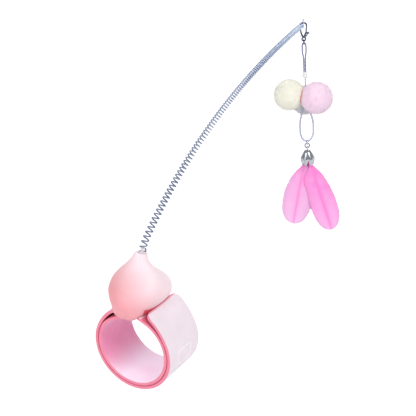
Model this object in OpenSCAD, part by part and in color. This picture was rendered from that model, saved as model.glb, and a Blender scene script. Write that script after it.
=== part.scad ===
// Cat teaser wand on a snap band.
// A silicone band with a steel strip inside winds almost twice round into a ring.
// A puffy heart-shaped holder sits astride the band and carries a long, soft
// steel spring as the wand. A lobster clasp at its tip holds a corded lure of
// three pompoms and a petal cap with feathers.
// The ring's axis is Y and its front edge faces -Y. Up is +Z. All lengths in mm.

/* [Band] */
// Outer radius of the wound band
ring_r = 26.9; // [24:0.1:30]
// Width of the band along the ring's axis
band_w = 33; // [28:0.5:38]
// Thickness of one layer of the band
band_t = 2.2; // [1.9:0.1:2.5]
// Gap between the two wound layers
layer_gap = 0.15; // [0.1:0.05:0.3]
// Radius of the rounded corners at the band's ends
corner_r = 5; // [3:0.5:7]
// Width of the spring steel strip inside the band
strip_w = 25; // [18:0.5:26]
// Thickness of the steel strip
strip_t = 0.4; // [0.3:0.05:0.6]
// Clearance round the steel strip in its pocket
strip_gap = 0.1; // [0.05:0.05:0.2]
// Length of the raised frame along the ring's axis
badge_l = 15; // [10:0.5:20]
// Height of the raised frame round the ring
badge_h = 11; // [8:0.5:14]
// Width of the frame's raised line
badge_line = 1; // [0.6:0.1:1.5]
// How far the raised frame stands out
badge_rise = 0.4; // [0.2:0.1:0.7]

/* [Heart holder] */
// Width of the heart along the ring's axis
heart_w = 42.4; // [41.6:0.2:48]
// Depth of the heart across the ring
heart_d = 37.8; // [34:0.2:41]
// Height of the heart's tip above the band
heart_h = 30; // [27:0.5:34]
// How far the lobes hang below the band's outer face
heart_drop = 6.1; // [6:0.1:8]
// How far the heart's body sits to the left of the ring's middle
heart_left = 1.6; // [1:0.1:2]
// How far the heart's tip sits to the left of the wand's shaft
tip_left = 0.7; // [0.5:0.05:0.9]
// Radius of the flat tip
tip_r = 3.8; // [3.7:0.1:4.5]
// Lean of the tip towards the wand's side, in degrees
tip_tilt = 15; // [8:1:20]
// Thickness of the floor under the band's slot
floor_t = 1.5; // [1:0.1:1.7]
// Clearance of the band in its slot
slot_gap = 0.3; // [0.2:0.05:0.4]

/* [Wand] */
// Direction that the wand leans in, turned from +X, in degrees
wand_turn = 70; // [40:1:110]
// Length of the wound spring along its middle line
wand_len = 172; // [140:1:200]
// Number of coils
coils = 92; // [60:1:95]
// Diameter of the wire
wire_d = 0.7; // [0.5:0.05:0.75]
// Outer diameter of the coils at the holder
coil_base_d = 4.8; // [4.5:0.1:5.2]
// Outer diameter of the coils at the tip
coil_tip_d = 4; // [3.8:0.1:4.6]
// Radius of the plug's turning shaft
plug_r = 1.6; // [1.4:0.05:1.8]
// Running clearance of the plug in its bush
plug_gap = 0.05; // [0.03:0.01:0.1]
// Length of the bush that the plug turns in
bush_l = 9; // [7:0.5:11]
// Wall of the bush
bush_wall = 0.9; // [0.8:0.1:1]

/* [Clasp] */
// Radius of the hook's middle line
hook_r = 2; // [1.8:0.1:2.4]
// Thickness of the hook's round bar
hook_d = 1.2; // [1:0.05:1.3]
// Length of the clasp's body
clasp_l = 4.2; // [3.6:0.1:5]
// Width of the clasp's body
clasp_w = 4.6; // [4.2:0.1:5.2]
// Thickness of the clasp's body
clasp_t = 2.2; // [2:0.1:2.6]
// Thickness of the gate
gate_t = 0.9; // [0.7:0.05:1]
// Radius of the gate's pin
gate_pin_r = 0.35; // [0.3:0.05:0.45]
// Middle radius of the jump rings
link_r = 1.5; // [1.4:0.05:1.8]
// Wire diameter of the jump rings
link_d = 0.7; // [0.6:0.05:0.8]
// Free play where one link hangs in the next
link_play = 0.05; // [0.04:0.01:0.08]

/* [Lure] */
// Direction that the lure's flat side faces, turned from +X, in degrees
lure_turn = 32; // [0:1:90]
// Diameter of the upper cord
cord_d = 0.9; // [0.7:0.05:0.95]
// Diameter of the lower cord
loop_d = 1; // [0.8:0.05:1.1]
// Radius of the crimp sleeve
sleeve_r = 1.25; // [1.1:0.05:1.5]
// Radius of the knot bead
bead_r = 1.9; // [1.6:0.1:2.2]
// Radius of the hanging thread
thread_r = 0.35; // [0.25:0.05:0.5]
// Radius of the knot that ties the pompoms
knot_r = 1.2; // [1:0.05:1.3]
// Radius of the cream pompom's core
cream_r = 8.7; // [7.5:0.1:8.8]
// Radius of the pink pompom's core
pink_r = 8.9; // [8:0.1:9]
// Radius of the white pompom's core
white_r = 8; // [7.2:0.1:8.3]
// Length of the petal cap
cap_l = 10.6; // [9:0.2:12]
// Radius of the petal cap at its petal tips
cap_r = 4.9; // [4.4:0.1:5.4]
// Wall of the petal cap
cap_wall = 0.5; // [0.4:0.05:0.6]
// Number of petals
petals = 6; // [6:2:6]

/* [Feathers] */
// Length of the left feather
left_l = 45; // [38:0.5:50]
// Length of the right feather
right_l = 50.5; // [42:0.5:54]
// Length of the middle feather
middle_l = 38.5; // [32:0.5:44]
// Length of the rear feather
rear_l = 37; // [28:0.5:40]
// Full width of the outer feathers
feather_w = 18.5; // [14:0.5:20]
// Thickness of a feather's vane
vane_t = 0.6; // [0.5:0.05:0.7]
// Radius of a feather's shaft
quill_r = 0.35; // [0.3:0.05:0.4]
// Bending radius of the feathers
feather_bend = 120; // [100:5:160]

/* [Hidden] */
$fn = 48;

unit = 1;             // one millimetre, the unit of the hand-chosen cord points
overrun = 0.5;        // how far a cut runs past what it cuts
soft_gap = 0.3;       // room between soft faces of different pieces

// The band's path, by clock angle from the top
layer_pitch = band_t + layer_gap;
outer_mid_r = ring_r - band_t / 2;
inner_mid_r = outer_mid_r - layer_pitch;
// clock angle and layer depth as a share of the layer pitch, outer end first
path_share = [[24, 1.06], [34, 0.77], [48, 0.3], [62, 0.04], [72, 0], [80, 0],
    [290, 0], [298, 0], [312, 0.06], [330, 0.3], [345, 0.32], [360, -0.08],
    [378, -0.9], [392, -1], [400, -1], [652, -1], [660, -1], [674, -1.2],
    [690, -1.58], [705, -1.74], [718, -2.02], [726, -2.2]];
path_step = 2;        // degrees between the points of a bent stretch
outer_end_a = 24;     // where the outer end stops
inner_end_a = 716;    // where the inner end stops
inner_arc = [401, 651];   // where the inner layer is truly round
bore_skim = 0.05;     // what the round bore takes off the layer's face
neck_r = inner_mid_r - band_t / 2 + bore_skim;

function seg_of(t, a, i = 0) =
    i >= len(t) - 2 || a < t[i + 1][0] ? i : seg_of(t, a, i + 1);
function slope_at(t, i) = i <= 0
    ? (t[1][1] - t[0][1]) / (t[1][0] - t[0][0])
    : i >= len(t) - 1
    ? (t[i][1] - t[i - 1][1]) / (t[i][0] - t[i - 1][0])
    : (t[i][1] - t[i - 1][1]) * (t[i + 1][1] - t[i][1]) <= 0 ? 0
    : (t[i + 1][1] - t[i - 1][1]) / (t[i + 1][0] - t[i - 1][0]);
// smooth curve through a table of pairs
function smooth_at(t, a) =
    let (i = seg_of(t, a), h = t[i + 1][0] - t[i][0], u = (a - t[i][0]) / h)
    (2 * u * u * u - 3 * u * u + 1) * t[i][1]
    + (u * u * u - 2 * u * u + u) * h * slope_at(t, i)
    + (3 * u * u - 2 * u * u * u) * t[i + 1][1]
    + (u * u * u - u * u) * h * slope_at(t, i + 1);
function path_r(a) = outer_mid_r + layer_pitch * smooth_at(path_share, a);
function clock(a, r) = [r * sin(a), r * cos(a)];
// a strip of the band's section between two clock angles
function strip_points(a0, a1, t, shift = 0) = concat(
    [for (a = [a0:path_step:a1]) clock(a, path_r(a) + shift + t / 2)],
    [for (a = [a1:-path_step:a0]) clock(a, path_r(a) + shift - t / 2)]);

module along_ring(w) {
    rotate([90, 0, 0]) linear_extrude(w, center = true) children();
}

sector_step = 20;     // degrees between the points of a sector
module sector(a0, a1, r, w) {
    n = ceil((a1 - a0) / sector_step);
    along_ring(w) polygon(concat([[0, 0]],
        [for (i = [0:n]) clock(a0 + (a1 - a0) * i / n, r)]));
}

// trues the wall that lies against the neck to a round bore
module neck_cut() {
    intersection() {
        rotate([90, 0, 0]) cylinder(r = neck_r, h = band_w + overrun, center = true,
            $fn = 120);
        sector(inner_arc[0], inner_arc[1], ring_r * 2, band_w + overrun * 2);
    }
}

// cuts a rounded corner off the band's end at clock angle a
corner_step = 12;     // degrees between the points of a rounded corner
corner_reach_share = 1.35;   // reach of the cut from its layer's middle, of band_t
module corner_cut(a, r, side, dir) {
    reach = band_t * corner_reach_share;
    rotate([0, a, 0]) translate([0, side * band_w / 2, r - reach])
        scale([dir, -side, 1]) linear_extrude(2 * reach) polygon(concat(
            [[-overrun, -overrun], [corner_r, -overrun]],
            [for (t = [corner_step / 2:corner_step:90])
                [corner_r * (1 - sin(t)), corner_r * (1 - cos(t))]],
            [[-overrun, corner_r]]));
}

badge_a = 100;        // clock angle of the raised frame
badge_corner_share = 0.18;
module badge() {
    r_out = badge_h * badge_corner_share;
    r_in = r_out - badge_line / 2;
    intersection() {
        rotate([0, badge_a, 0]) translate([0, 0, ring_r - band_t / 2])
            rotate([0, 0, 90]) difference() {
                linear_extrude(band_t * 3) plate_outline(badge_l, badge_h, r_out);
                translate([0, 0, -overrun]) linear_extrude(band_t * 3 + 2 * overrun)
                    plate_outline(badge_l - 2 * badge_line,
                        badge_h - 2 * badge_line, r_in);
            }
        rotate([90, 0, 0]) difference() {
            cylinder(r = ring_r + badge_rise, h = band_w, center = true, $fn = 120);
            cylinder(r = ring_r - band_t / 4, h = band_w + overrun, center = true,
                $fn = 120);
        }
    }
}

// rounded rectangle from two bars and four corner discs
module plate_outline(l, h, r) {
    square([l, h - 2 * r], center = true);
    square([l - 2 * r, h], center = true);
    for (x = [-1, 1], y = [-1, 1]) translate([x * (l / 2 - r), y * (h / 2 - r)])
        circle(r = r);
}

strip_from_a = 38;    // the steel strip stops short of the rounded ends
strip_to_a = 700;
module band_sleeve() {
    color([0.95, 0.76, 0.82]) {
        difference() {
            union() {
                along_ring(band_w)
                    polygon(strip_points(outer_end_a, inner_end_a, band_t));
                badge();
            }
            along_ring(strip_w + 2 * strip_gap) polygon(strip_points(
                strip_from_a - path_step, strip_to_a + path_step,
                strip_t + 2 * strip_gap));
            neck_cut();
            for (side = [-1, 1]) {
                corner_cut(outer_end_a, path_r(outer_end_a), side, 1);
                corner_cut(inner_end_a, path_r(inner_end_a), side, -1);
            }
        }
    }
}

module steel_strip() {
    color([0.62, 0.64, 0.67]) along_ring(strip_w)
        polygon(strip_points(strip_from_a, strip_to_a, strip_t));
}

// Heart-shaped holder
tip_z = ring_r + heart_h;             // height of the flat tip over the ring's centre
tip_out = 2.5;                        // how far the tip leans out to the wand's side
heart_low = ring_r - heart_drop;
heart_high = heart_h + heart_drop;
// height from the foot, half depth and half width of each level
heart_share = [[0, 0.38, 0.83], [0.03, 0.47, 0.88], [0.06, 0.54, 0.92],
    [0.1, 0.63, 0.95], [0.14, 0.71, 0.96], [0.19, 0.81, 0.99], [0.25, 0.92, 1],
    [0.31, 0.97, 0.98], [0.38, 1, 0.94], [0.44, 0.99, 0.89], [0.5, 0.95, 0.8],
    [0.56, 0.89, 0.7], [0.62, 0.8, 0.57], [0.68, 0.69, 0.46], [0.74, 0.57, 0.35],
    [0.8, 0.45, 0.27], [0.86, 0.35, 0.216], [0.93, 0.263, 0.19], [1, 0.201, 0.18]];
heart_sides = 48;
lean_power_share = 6;                 // how late the heart's axis leans over
tip_power_share = 10;                 // how late its section takes up the tip's size
left_power_share = 3;                 // how late its axis comes over to the shaft
foot_square_share = 2;                // how much squarer than round the foot is
square_to_share = 0.24;               // height where the section is round again
top_share = heart_share[len(heart_share) - 1];
channel_w = band_w + 2 * slot_gap;
floor_from_a = 316;                   // the floor under the slot, by clock angle
floor_to_a = 368;
slot_reach = 44;                      // degrees that the slot runs either way

module at_tip() {
    rotate([0, 0, wand_turn]) translate([tip_out, 0, tip_z])
        rotate([0, tip_tilt, 0]) children();
}

function fade(u) = let (t = min(max(u, 0), 1)) t * t * (3 - 2 * t);
function squared(c, power) = sign(c) * pow(abs(c), 2 / power);

// one level of the heart, squarer at the foot, leaning with its axis
function heart_ring(row) =
    let (rx = heart_d / 2 * row[1]
            + (tip_r - heart_d / 2 * top_share[1]) * pow(row[0], tip_power_share),
        ry = heart_w / 2 * row[2]
            + (tip_r - heart_w / 2 * top_share[2]) * pow(row[0], tip_power_share),
        late = pow(row[0], lean_power_share), tilt = tip_tilt * late,
        left = heart_left + (tip_left - heart_left) * pow(row[0], left_power_share),
        power = 2 + foot_square_share * (1 - fade(row[0] / square_to_share)),
        lean_dir = [cos(wand_turn), sin(wand_turn), 0],
        mid = lean_dir * tip_out * late
            + [-left, 0, heart_low + heart_high * row[0]])
    [for (k = [0:heart_sides - 1]) let (a = 360 * k / heart_sides,
        p = [rx * squared(cos(a), power), ry * squared(sin(a), power), 0],
        along = p * lean_dir)
        mid + p + lean_dir * along * (cos(tilt) - 1) - [0, 0, along * sin(tilt)]];

// everything that lies under the floor, or under the slot where the floor ends
function below_points() = concat([[0, 0]],
    [for (a = [360 - slot_reach:path_step:floor_to_a])
        clock(a, path_r(a) - band_t / 2 - slot_gap - floor_t)],
    [for (a = [floor_to_a:path_step:360 + slot_reach])
        clock(a, path_r(a) - band_t / 2)]);

plug_collar_h = 1.2;                  // height of the collar that keeps the plug in
plug_collar_out = 0.6;                // how far the collar stands out from the shaft
plug_collar_r = plug_r + plug_collar_out;
bush_r = plug_r + plug_gap + bush_wall;
chamber_l = plug_collar_h + 2 * soft_gap;

module heart_holder() {
    color([0.96, 0.8, 0.82]) difference() {
        ring_tube([for (row = heart_share) heart_ring(row)]);
        along_ring(channel_w) polygon(strip_points(360 - slot_reach,
            360 + slot_reach, band_t + 2 * slot_gap));
        along_ring(channel_w) polygon(below_points());
        along_ring(channel_w) polygon(strip_points(outer_end_a,
            outer_end_a + slot_reach, band_t + 4 * slot_gap));
        at_tip() {
            translate([0, 0, -bush_l]) cylinder(r = bush_r, h = bush_l + overrun);
            translate([0, 0, -bush_l - chamber_l])
                cylinder(r = plug_collar_r + soft_gap, h = chamber_l + overrun);
        }
    }
}

module tip_bush() {
    color([0.88, 0.72, 0.75]) at_tip() translate([0, 0, -bush_l]) difference() {
        cylinder(r = bush_r, h = bush_l);
        translate([0, 0, -overrun]) cylinder(r = plug_r + plug_gap,
            h = bush_l + 2 * overrun);
    }
}

// Plug and wand spring
plug_head_r = coil_base_d / 2 + plug_gap;
plug_head_h = 0.8;
spigot_l = 2;
wire_r = wire_d / 2;
base_helix_r = coil_base_d / 2 - wire_r;
tip_helix_r = coil_tip_d / 2 - wire_r;
spigot_play = 0.2;    // room between the spigot and the coils round it
spigot_r = base_helix_r - wire_r - spigot_play - plug_gap * 4;

module wand_plug() {
    color([0.8, 0.8, 0.82]) at_tip() {
        translate([0, 0, -bush_l - plug_gap - plug_collar_h])
            cylinder(r = plug_collar_r, h = plug_collar_h);
        translate([0, 0, -bush_l - plug_gap - plug_collar_h / 2])
            cylinder(r = plug_r, h = bush_l + plug_head_h);
        translate([0, 0, plug_gap]) cylinder(r = plug_head_r, h = plug_head_h);
        translate([0, 0, plug_gap + plug_head_h / 2])
            cylinder(r = spigot_r, h = spigot_l + plug_head_h / 2);
    }
}

// the middle line of the wand in its own upright plane: place and lean from upright
first_lean = tip_tilt;
quick_lean = 21;      // degrees gained over the first few coils
late_lean = 32;       // degrees gained evenly along the whole wand
quick_len = 3;
line_steps = 346;
line_step = wand_len / line_steps;
end_rise = 0.6 * unit;        // room in which the wire's end bends upright
end_len = end_rise + wire_d;  // bend and straight end of the wire
start_up = plug_gap + plug_head_h + end_len;
function lean_at(l) = first_lean + quick_lean * (1 - exp(-l / quick_len))
    + late_lean * l / wand_len;
wand_line = [for (i = 0, s = tip_out + start_up * sin(first_lean),
        z = tip_z + start_up * cos(first_lean); i <= line_steps;
        s = s + line_step * sin(lean_at((i + 0.5) * line_step)),
        z = z + line_step * cos(lean_at((i + 0.5) * line_step)),
        i = i + 1) [s, z]];
function line_at(l) = let (u = min(max(l / line_step, 0), line_steps - 0.001),
    i = floor(u)) wand_line[i] + (wand_line[i + 1] - wand_line[i]) * (u - i);

// coils draw together towards the tip
tip_pitch_share = 0.52;
pitch_fall = -ln(tip_pitch_share);
function len_at(turn) = wand_len * (1 - exp(-turn / coils * pitch_fall))
    / (1 - tip_pitch_share);
function helix_r_at(l) = base_helix_r + (tip_helix_r - base_helix_r) * l / wand_len;
rings_per_coil = 8;
wire_sides = 6;

// one ring of the wire's tube: middle point, outward and cross directions
function wire_ring(l, turn_a, rise, tip_over) =
    let (c = line_at(l), lean = lean_at(min(max(l, 0), wand_len)),
        ax = [sin(lean), 0, cos(lean)], side = [cos(lean), 0, -sin(lean)],
        out = side * cos(turn_a) + [0, 1, 0] * sin(turn_a),
        fwd = [0, 1, 0] * cos(turn_a) - side * sin(turn_a),
        cross_dir = ax * cos(tip_over) - fwd * sin(tip_over),
        p = [c[0], 0, c[1]] + out * helix_r_at(l) + ax * rise)
    [for (k = [0:wire_sides - 1]) p
        + wire_r * (out * cos(360 * k / wire_sides)
            + cross_dir * sin(360 * k / wire_sides))];
function coil_tip_over(l) = atan(wand_len / coils
    / (2 * PI * helix_r_at(l)));
bend_a = end_rise / base_helix_r * 180 / PI;
tip_bend_a = end_rise / tip_helix_r * 180 / PI;
bend_share = 0.29;    // how far a ring half way round the end's bend has moved
bend_over = 50;       // that ring's own tip, in degrees
ring_count = coils * rings_per_coil;
last_a = 360 * coils;
wire_rings = concat(
    [wire_ring(0, -bend_a, -end_len, 90),
        wire_ring(0, -bend_a, -end_rise, 90),
        wire_ring(0, -bend_a * (1 - bend_share), -end_rise * bend_share,
            bend_over)],
    [for (i = [0:ring_count]) let (l = len_at(i / rings_per_coil))
        wire_ring(l, 360 * i / rings_per_coil, 0, coil_tip_over(l))],
    [wire_ring(wand_len, last_a + tip_bend_a * (1 - bend_share),
            end_rise * bend_share, bend_over),
        wire_ring(wand_len, last_a + tip_bend_a, end_rise, 90),
        wire_ring(wand_len, last_a + tip_bend_a, end_len, 90)]);

// closed tube from rings of points
module ring_tube(rings) {
    n = len(rings);
    k = len(rings[0]);
    polyhedron(points = [for (r = rings) for (p = r) p],
        faces = concat([[for (j = [0:k - 1]) j]],
            [for (i = [0:n - 2], j = [0:k - 1], h = [0:1]) let (j2 = (j + 1) % k)
                h == 0 ? [i * k + j, (i + 1) * k + j, i * k + j2]
                : [i * k + j2, (i + 1) * k + j, (i + 1) * k + j2]],
            [[for (j = [k - 1:-1:0]) (n - 1) * k + j]]));
}

function ring_mid(r, i = 0) = i >= len(r) ? [0, 0, 0] : r[i] / len(r) + ring_mid(r, i + 1);
wire_mids = [for (r = wire_rings) ring_mid(r)];
near_rings = rings_per_coil + 1;
least_wire_gap = min([for (i = [0:len(wire_mids) - 1 - near_rings],
    j = [rings_per_coil / 2:near_rings])
    norm(wire_mids[i + j] - wire_mids[i])]) - wire_d;
echo(least_gap_of_the_wand_wire_to_itself = least_wire_gap);

module in_wand() {
    rotate([0, 0, wand_turn]) children();
}

module wand_spring() {
    color([0.6, 0.66, 0.76]) in_wand() ring_tube(wire_rings);
}

// Eye at the wand's tip
eye_r = 1.6;                          // middle radius of the eye
eye_flange_h = 0.4;
eye_stem_l = 1.8;                     // straight wire from the flange to the eye
eye_barrel_r = tip_helix_r - wire_r - plug_gap * 2;
eye_barrel_l = 3.2;
tip_lean = lean_at(wand_len);
tip_dir = [sin(tip_lean) * cos(wand_turn), sin(tip_lean) * sin(wand_turn),
    cos(tip_lean)];
tip_end = [wand_line[line_steps][0] * cos(wand_turn),
    wand_line[line_steps][0] * sin(wand_turn), wand_line[line_steps][1]];
lure_x = [cos(lure_turn), sin(lure_turn), 0];
eye_flat = tip_dir - lure_x * (tip_dir * lure_x);
eye_dir = eye_flat / norm(eye_flat);
eye_mid = tip_end + tip_dir * (end_len + eye_flange_h + eye_stem_l) + eye_dir * eye_r;
lure_top = eye_mid - [0, 0, eye_r];   // where the clasp hangs in the eye

module ring_link(mid_r, d) {
    rotate_extrude($fn = 48) translate([mid_r, 0]) circle(r = d / 2, $fn = 20);
}

module tip_eye() {
    color([0.62, 0.67, 0.75]) {
        translate(eye_mid) rotate([0, 0, lure_turn]) rotate([0, 90, 0])
            ring_link(eye_r, wire_d);
        in_wand() translate([wand_line[line_steps][0], 0, wand_line[line_steps][1]])
            rotate([0, tip_lean, 0]) {
                translate([0, 0, end_len]) cylinder(r = coil_tip_d / 2, h = eye_flange_h);
                translate([0, 0, end_len - eye_barrel_l])
                    cylinder(r = eye_barrel_r, h = eye_barrel_l + eye_flange_h / 2);
                translate([0, 0, end_len])
                    cylinder(r = wire_r, h = eye_flange_h + eye_stem_l);
            }
    }
}

// Lobster clasp, in the lure's own upright frame
module in_lure() {
    translate(lure_top) rotate([0, 0, lure_turn]) children();
}

// a ring that stands in the lure's side plane, or in its front plane
module side_ring(mid_r, d) {
    rotate([0, 90, 0]) ring_link(mid_r, d);
}
module front_ring(mid_r, d) {
    rotate([90, 0, 0]) ring_link(mid_r, d);
}

hook_up = wire_r + link_play + hook_d / 2;     // hook's bar over the eye's wire
hook_mid = hook_up - hook_r;
neck_len = 3.4;                                // hook's middle to the body
body_top = hook_mid - neck_len;
body_bottom = body_top - clasp_l;
tail_r = 1.15;                                 // middle radius of the tail's eye
tail_d = 0.9;
tail_z = body_bottom - tail_r + tail_d / 4;
tail_low = tail_z - tail_r;
gate_x_share = 0.78;                           // gate's pivot, right of the middle
gate_drop_share = 0.42;                        // and under the body's top
gate_x = hook_r * gate_x_share;
gate_z = body_top - clasp_l * gate_drop_share;
stem_foot_share = 0.86;                        // how far out the stem meets the body
stem_foot_r_share = 0.62;
body_shoulder_share = 0.16;                    // the body's corners, of its width
body_foot_share = 0.2;
body_foot_t_share = 0.8;
gate_gap = 0.12;                               // room at each side of the gate
gate_root_r = 0.95;
hook_end_a = -28;                              // where the hook's free end stops

module rod(a, b, r0, r1) {
    d = b - a;
    translate(a) rotate([0, acos(d[2] / norm(d)), atan2(d[1], d[0])])
        cylinder(r1 = r0, r2 = r1, h = norm(d), $fn = 24);
}

module clasp_body() {
    color([0.5, 0.53, 0.6]) in_lure() difference() {
        union() {
            translate([0, 0, hook_mid]) rotate([90, 0, 0])
                rotate_extrude(angle = 180 - hook_end_a, $fn = 64)
                    translate([hook_r, 0]) circle(r = hook_d / 2, $fn = 24);
            rod([-hook_r, 0, hook_mid], [-hook_r * stem_foot_share, 0, body_top],
                hook_d / 2, hook_d * stem_foot_r_share);
            hull() {
                translate([-gate_x, 0, body_top]) rotate([90, 0, 0])
                    cylinder(r = clasp_w * body_shoulder_share, h = clasp_t,
                        center = true, $fn = 24);
                translate([gate_x, 0, gate_z]) rotate([90, 0, 0])
                    cylinder(r = gate_root_r, h = clasp_t, center = true, $fn = 24);
                translate([0, 0, body_bottom + clasp_w * body_foot_share])
                    rotate([90, 0, 0]) cylinder(r = clasp_w * body_foot_share,
                        h = clasp_t * body_foot_t_share, center = true, $fn = 24);
            }
            translate([0, 0, tail_z]) front_ring(tail_r, tail_d);
        }
        // slot for the gate's root, and the pin's hole
        translate([gate_x - gate_root_r - gate_gap, -gate_t / 2 - gate_gap,
            gate_z - gate_root_r - gate_gap])
            cube([clasp_w, gate_t + 2 * gate_gap, clasp_l * 2]);
        translate([gate_x, 0, gate_z]) rotate([90, 0, 0])
            cylinder(r = gate_pin_r, h = clasp_t * 2, center = true);
    }
}

gate_top = hook_mid + hook_r * sin(hook_end_a) - gate_gap * 2;
gate_bar = 0.9;                       // width of the gate's bar
gate_reach = [hook_r * cos(hook_end_a) - gate_x, gate_top - gate_z];
gate_len = norm(gate_reach);
gate_turn = atan2(gate_reach[0], gate_reach[1]);
lever_out = 1.5;
lever_h = 1.1;
module clasp_gate() {
    color([0.55, 0.58, 0.64]) in_lure() difference() {
        union() {
            translate([gate_x, 0, gate_z]) rotate([90, 0, 0])
                cylinder(r = gate_root_r - gate_gap, h = gate_t, center = true);
            translate([gate_x, 0, gate_z]) rotate([0, gate_turn, 0])
                translate([-gate_bar / 2, -gate_t / 2, 0])
                cube([gate_bar, gate_t, gate_len]);
            // thumb lever
            translate([gate_x + gate_root_r * 0.5, -gate_t / 2, gate_z])
                cube([lever_out, gate_t, lever_h]);
        }
        translate([gate_x, 0, gate_z]) rotate([90, 0, 0])
            cylinder(r = gate_pin_r + plug_gap, h = clasp_t * 2, center = true);
    }
}

module gate_pin() {
    color([0.75, 0.76, 0.8]) in_lure() translate([gate_x, 0, gate_z])
        rotate([90, 0, 0]) cylinder(r = gate_pin_r, h = clasp_t, center = true);
}

// each hanging ring's top bar lies just over the bar that it hangs in
link_z = tail_low + tail_d / 2 + link_d / 2 + link_play - link_r;
link_low = link_z - link_r;
module clasp_link() {
    color([0.7, 0.72, 0.77]) in_lure() translate([0, 0, link_z])
        side_ring(link_r, link_d);
}

// Cords: routes by hand, in the lure's front plane, down from link_low or knot_z
// upper cord from one end, over the ring and back: right offset and height
upper_route = [[-0.5, -17.8], [-0.5, -16], [-0.5, -14], [-0.5, -12], [-0.5, -10],
    [-0.7, -8], [-1, -6], [-1.2, -4], [-1.2, -2], [-1.1, -0.6], [-0.9, 0.2],
    [-0.5, 0.7], [0, 0.85], [0.5, 0.7], [0.9, 0.2], [1.1, -0.6], [1.2, -2],
    [1.2, -4], [1, -6], [0.7, -8], [0.5, -10], [0.5, -12], [0.5, -14],
    [0.5, -16], [0.5, -17.8]];
// lower cord, down from the pompoms' knot
lower_route = [[-0.6, -1.1], [-0.6, -3], [-0.7, -5], [-0.9, -7], [-1.3, -9],
    [-2.3, -12], [-3.3, -15], [-4, -18], [-4.3, -21], [-4.3, -24], [-4.1, -27],
    [-3.3, -29.6], [-1.8, -31.5], [-0.8, -32.15], [0, -32.3], [0.8, -32.15],
    [1.8, -31.5], [3.3, -29.6], [4.1, -27], [4.3, -24], [4.3, -21], [4, -18],
    [3.3, -15], [2.3, -12], [1.3, -9], [0.9, -7], [0.7, -5], [0.6, -3], [0.6, -1.1]];
cord_sides = 8;

function route_dir(route, i) = let (n = len(route) - 1,
    d = i == 0 ? [0, 1] * sign(route[1][1] - route[0][1])
    : i == n ? [0, 1] * sign(route[n][1] - route[n - 1][1])
    : route[i + 1] - route[i - 1]) d / norm(d);
function cord_rings(route, d) = [for (i = [0:len(route) - 1])
    let (t = route_dir(route, i))
    [for (k = [0:cord_sides - 1]) [route[i][0] * unit
        + d / 2 * cos(360 * k / cord_sides) * t[1],
        d / 2 * sin(360 * k / cord_sides),
        route[i][1] * unit - d / 2 * cos(360 * k / cord_sides) * t[0]]]];

module upper_cord() {
    color([0.3, 0.3, 0.5]) in_lure() translate([0, 0, link_low])
        ring_tube(cord_rings(upper_route, cord_d));
}

sleeve_h = 2.2;
sleeve_top = link_low + upper_route[0][1] * unit;   // the cord ends in the sleeve
bead_h = 1.7;
module cord_sleeve() {
    color([0.93, 0.93, 0.95]) in_lure() translate([0, 0, sleeve_top - sleeve_h])
        cylinder(r = sleeve_r, h = sleeve_h);
}

bead_share = [[0, 0], [0.6, 0], [0.9, 0.22], [1, 0.5], [0.9, 0.78], [0.6, 1], [0, 1]];
module knot_bead() {
    color([0.85, 0.85, 0.9]) in_lure()
        translate([0, 0, sleeve_top - sleeve_h - bead_h]) rotate_extrude()
            polygon([for (p = bead_share) [p[0] * bead_r, p[1] * bead_h]]);
}

knot_drop = 11;                       // bead to the middle of the pompoms' knot
knot_z = sleeve_top - sleeve_h - bead_h - knot_drop;
module hanger_thread() {
    color([0.35, 0.3, 0.4]) in_lure() translate([0, 0, knot_z + knot_r])
        cylinder(r = thread_r, h = knot_drop - knot_r, $fn = 24);
}

knot_flat_share = 0.875;              // height of the knot's flat ends
module tie_knot() {
    color([0.85, 0.45, 0.4]) in_lure() translate([0, 0, knot_z]) difference() {
        sphere(r = knot_r);
        for (z = [-1, 1]) translate([0, 0, z * knot_r * (1 + knot_flat_share)])
            cube([knot_r * 4, knot_r * 4, knot_r * 2], center = true);
    }
}

// directions of the three pompoms round the thread, in the lure's frame
cream_at = [-10.4, -1.6, 0.7];
pink_at = [6.2, -8.1, -0.4];
white_at = [0.5, 8.9, -7.2];
module pompom_cream() {
    color([0.93, 0.93, 0.8]) in_lure() translate([0, 0, knot_z] + cream_at * unit)
        sphere(r = cream_r);
}
module pompom_pink() {
    color([0.95, 0.6, 0.75]) in_lure() translate([0, 0, knot_z] + pink_at * unit)
        sphere(r = pink_r);
}
module pompom_white() {
    color([0.9, 0.9, 0.92]) in_lure() translate([0, 0, knot_z] + white_at * unit)
        sphere(r = white_r);
}

module lower_cord() {
    color([0.72, 0.68, 0.78]) in_lure() translate([0, 0, knot_z])
        ring_tube(cord_rings(lower_route, loop_d));
}
// middle of the cord at the loop's foot
loop_low = knot_z + min([for (p = lower_route) p[1]]) * unit;

// Two rings, the petal cap and its eye
loop_link_z = loop_low + loop_d / 2 + link_d / 2 + link_play - link_r;
loop_link_low = loop_link_z - link_r;
cap_link_z = loop_link_low + link_d + link_play - link_r;
cap_link_low = cap_link_z - link_r;
cap_eye_r = 1.1;
cap_eye_d = 0.7;
cap_eye_z = cap_link_low + link_d / 2 + cap_eye_d / 2 + link_play - cap_eye_r;
cap_top = cap_eye_z - cap_eye_r;

module loop_link() {
    color([0.85, 0.85, 0.88]) in_lure() translate([0, 0, loop_link_z])
        side_ring(link_r, link_d);
}
module cap_link() {
    color([0.55, 0.56, 0.6]) in_lure() translate([0, 0, cap_link_z])
        front_ring(link_r, link_d);
}

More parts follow.
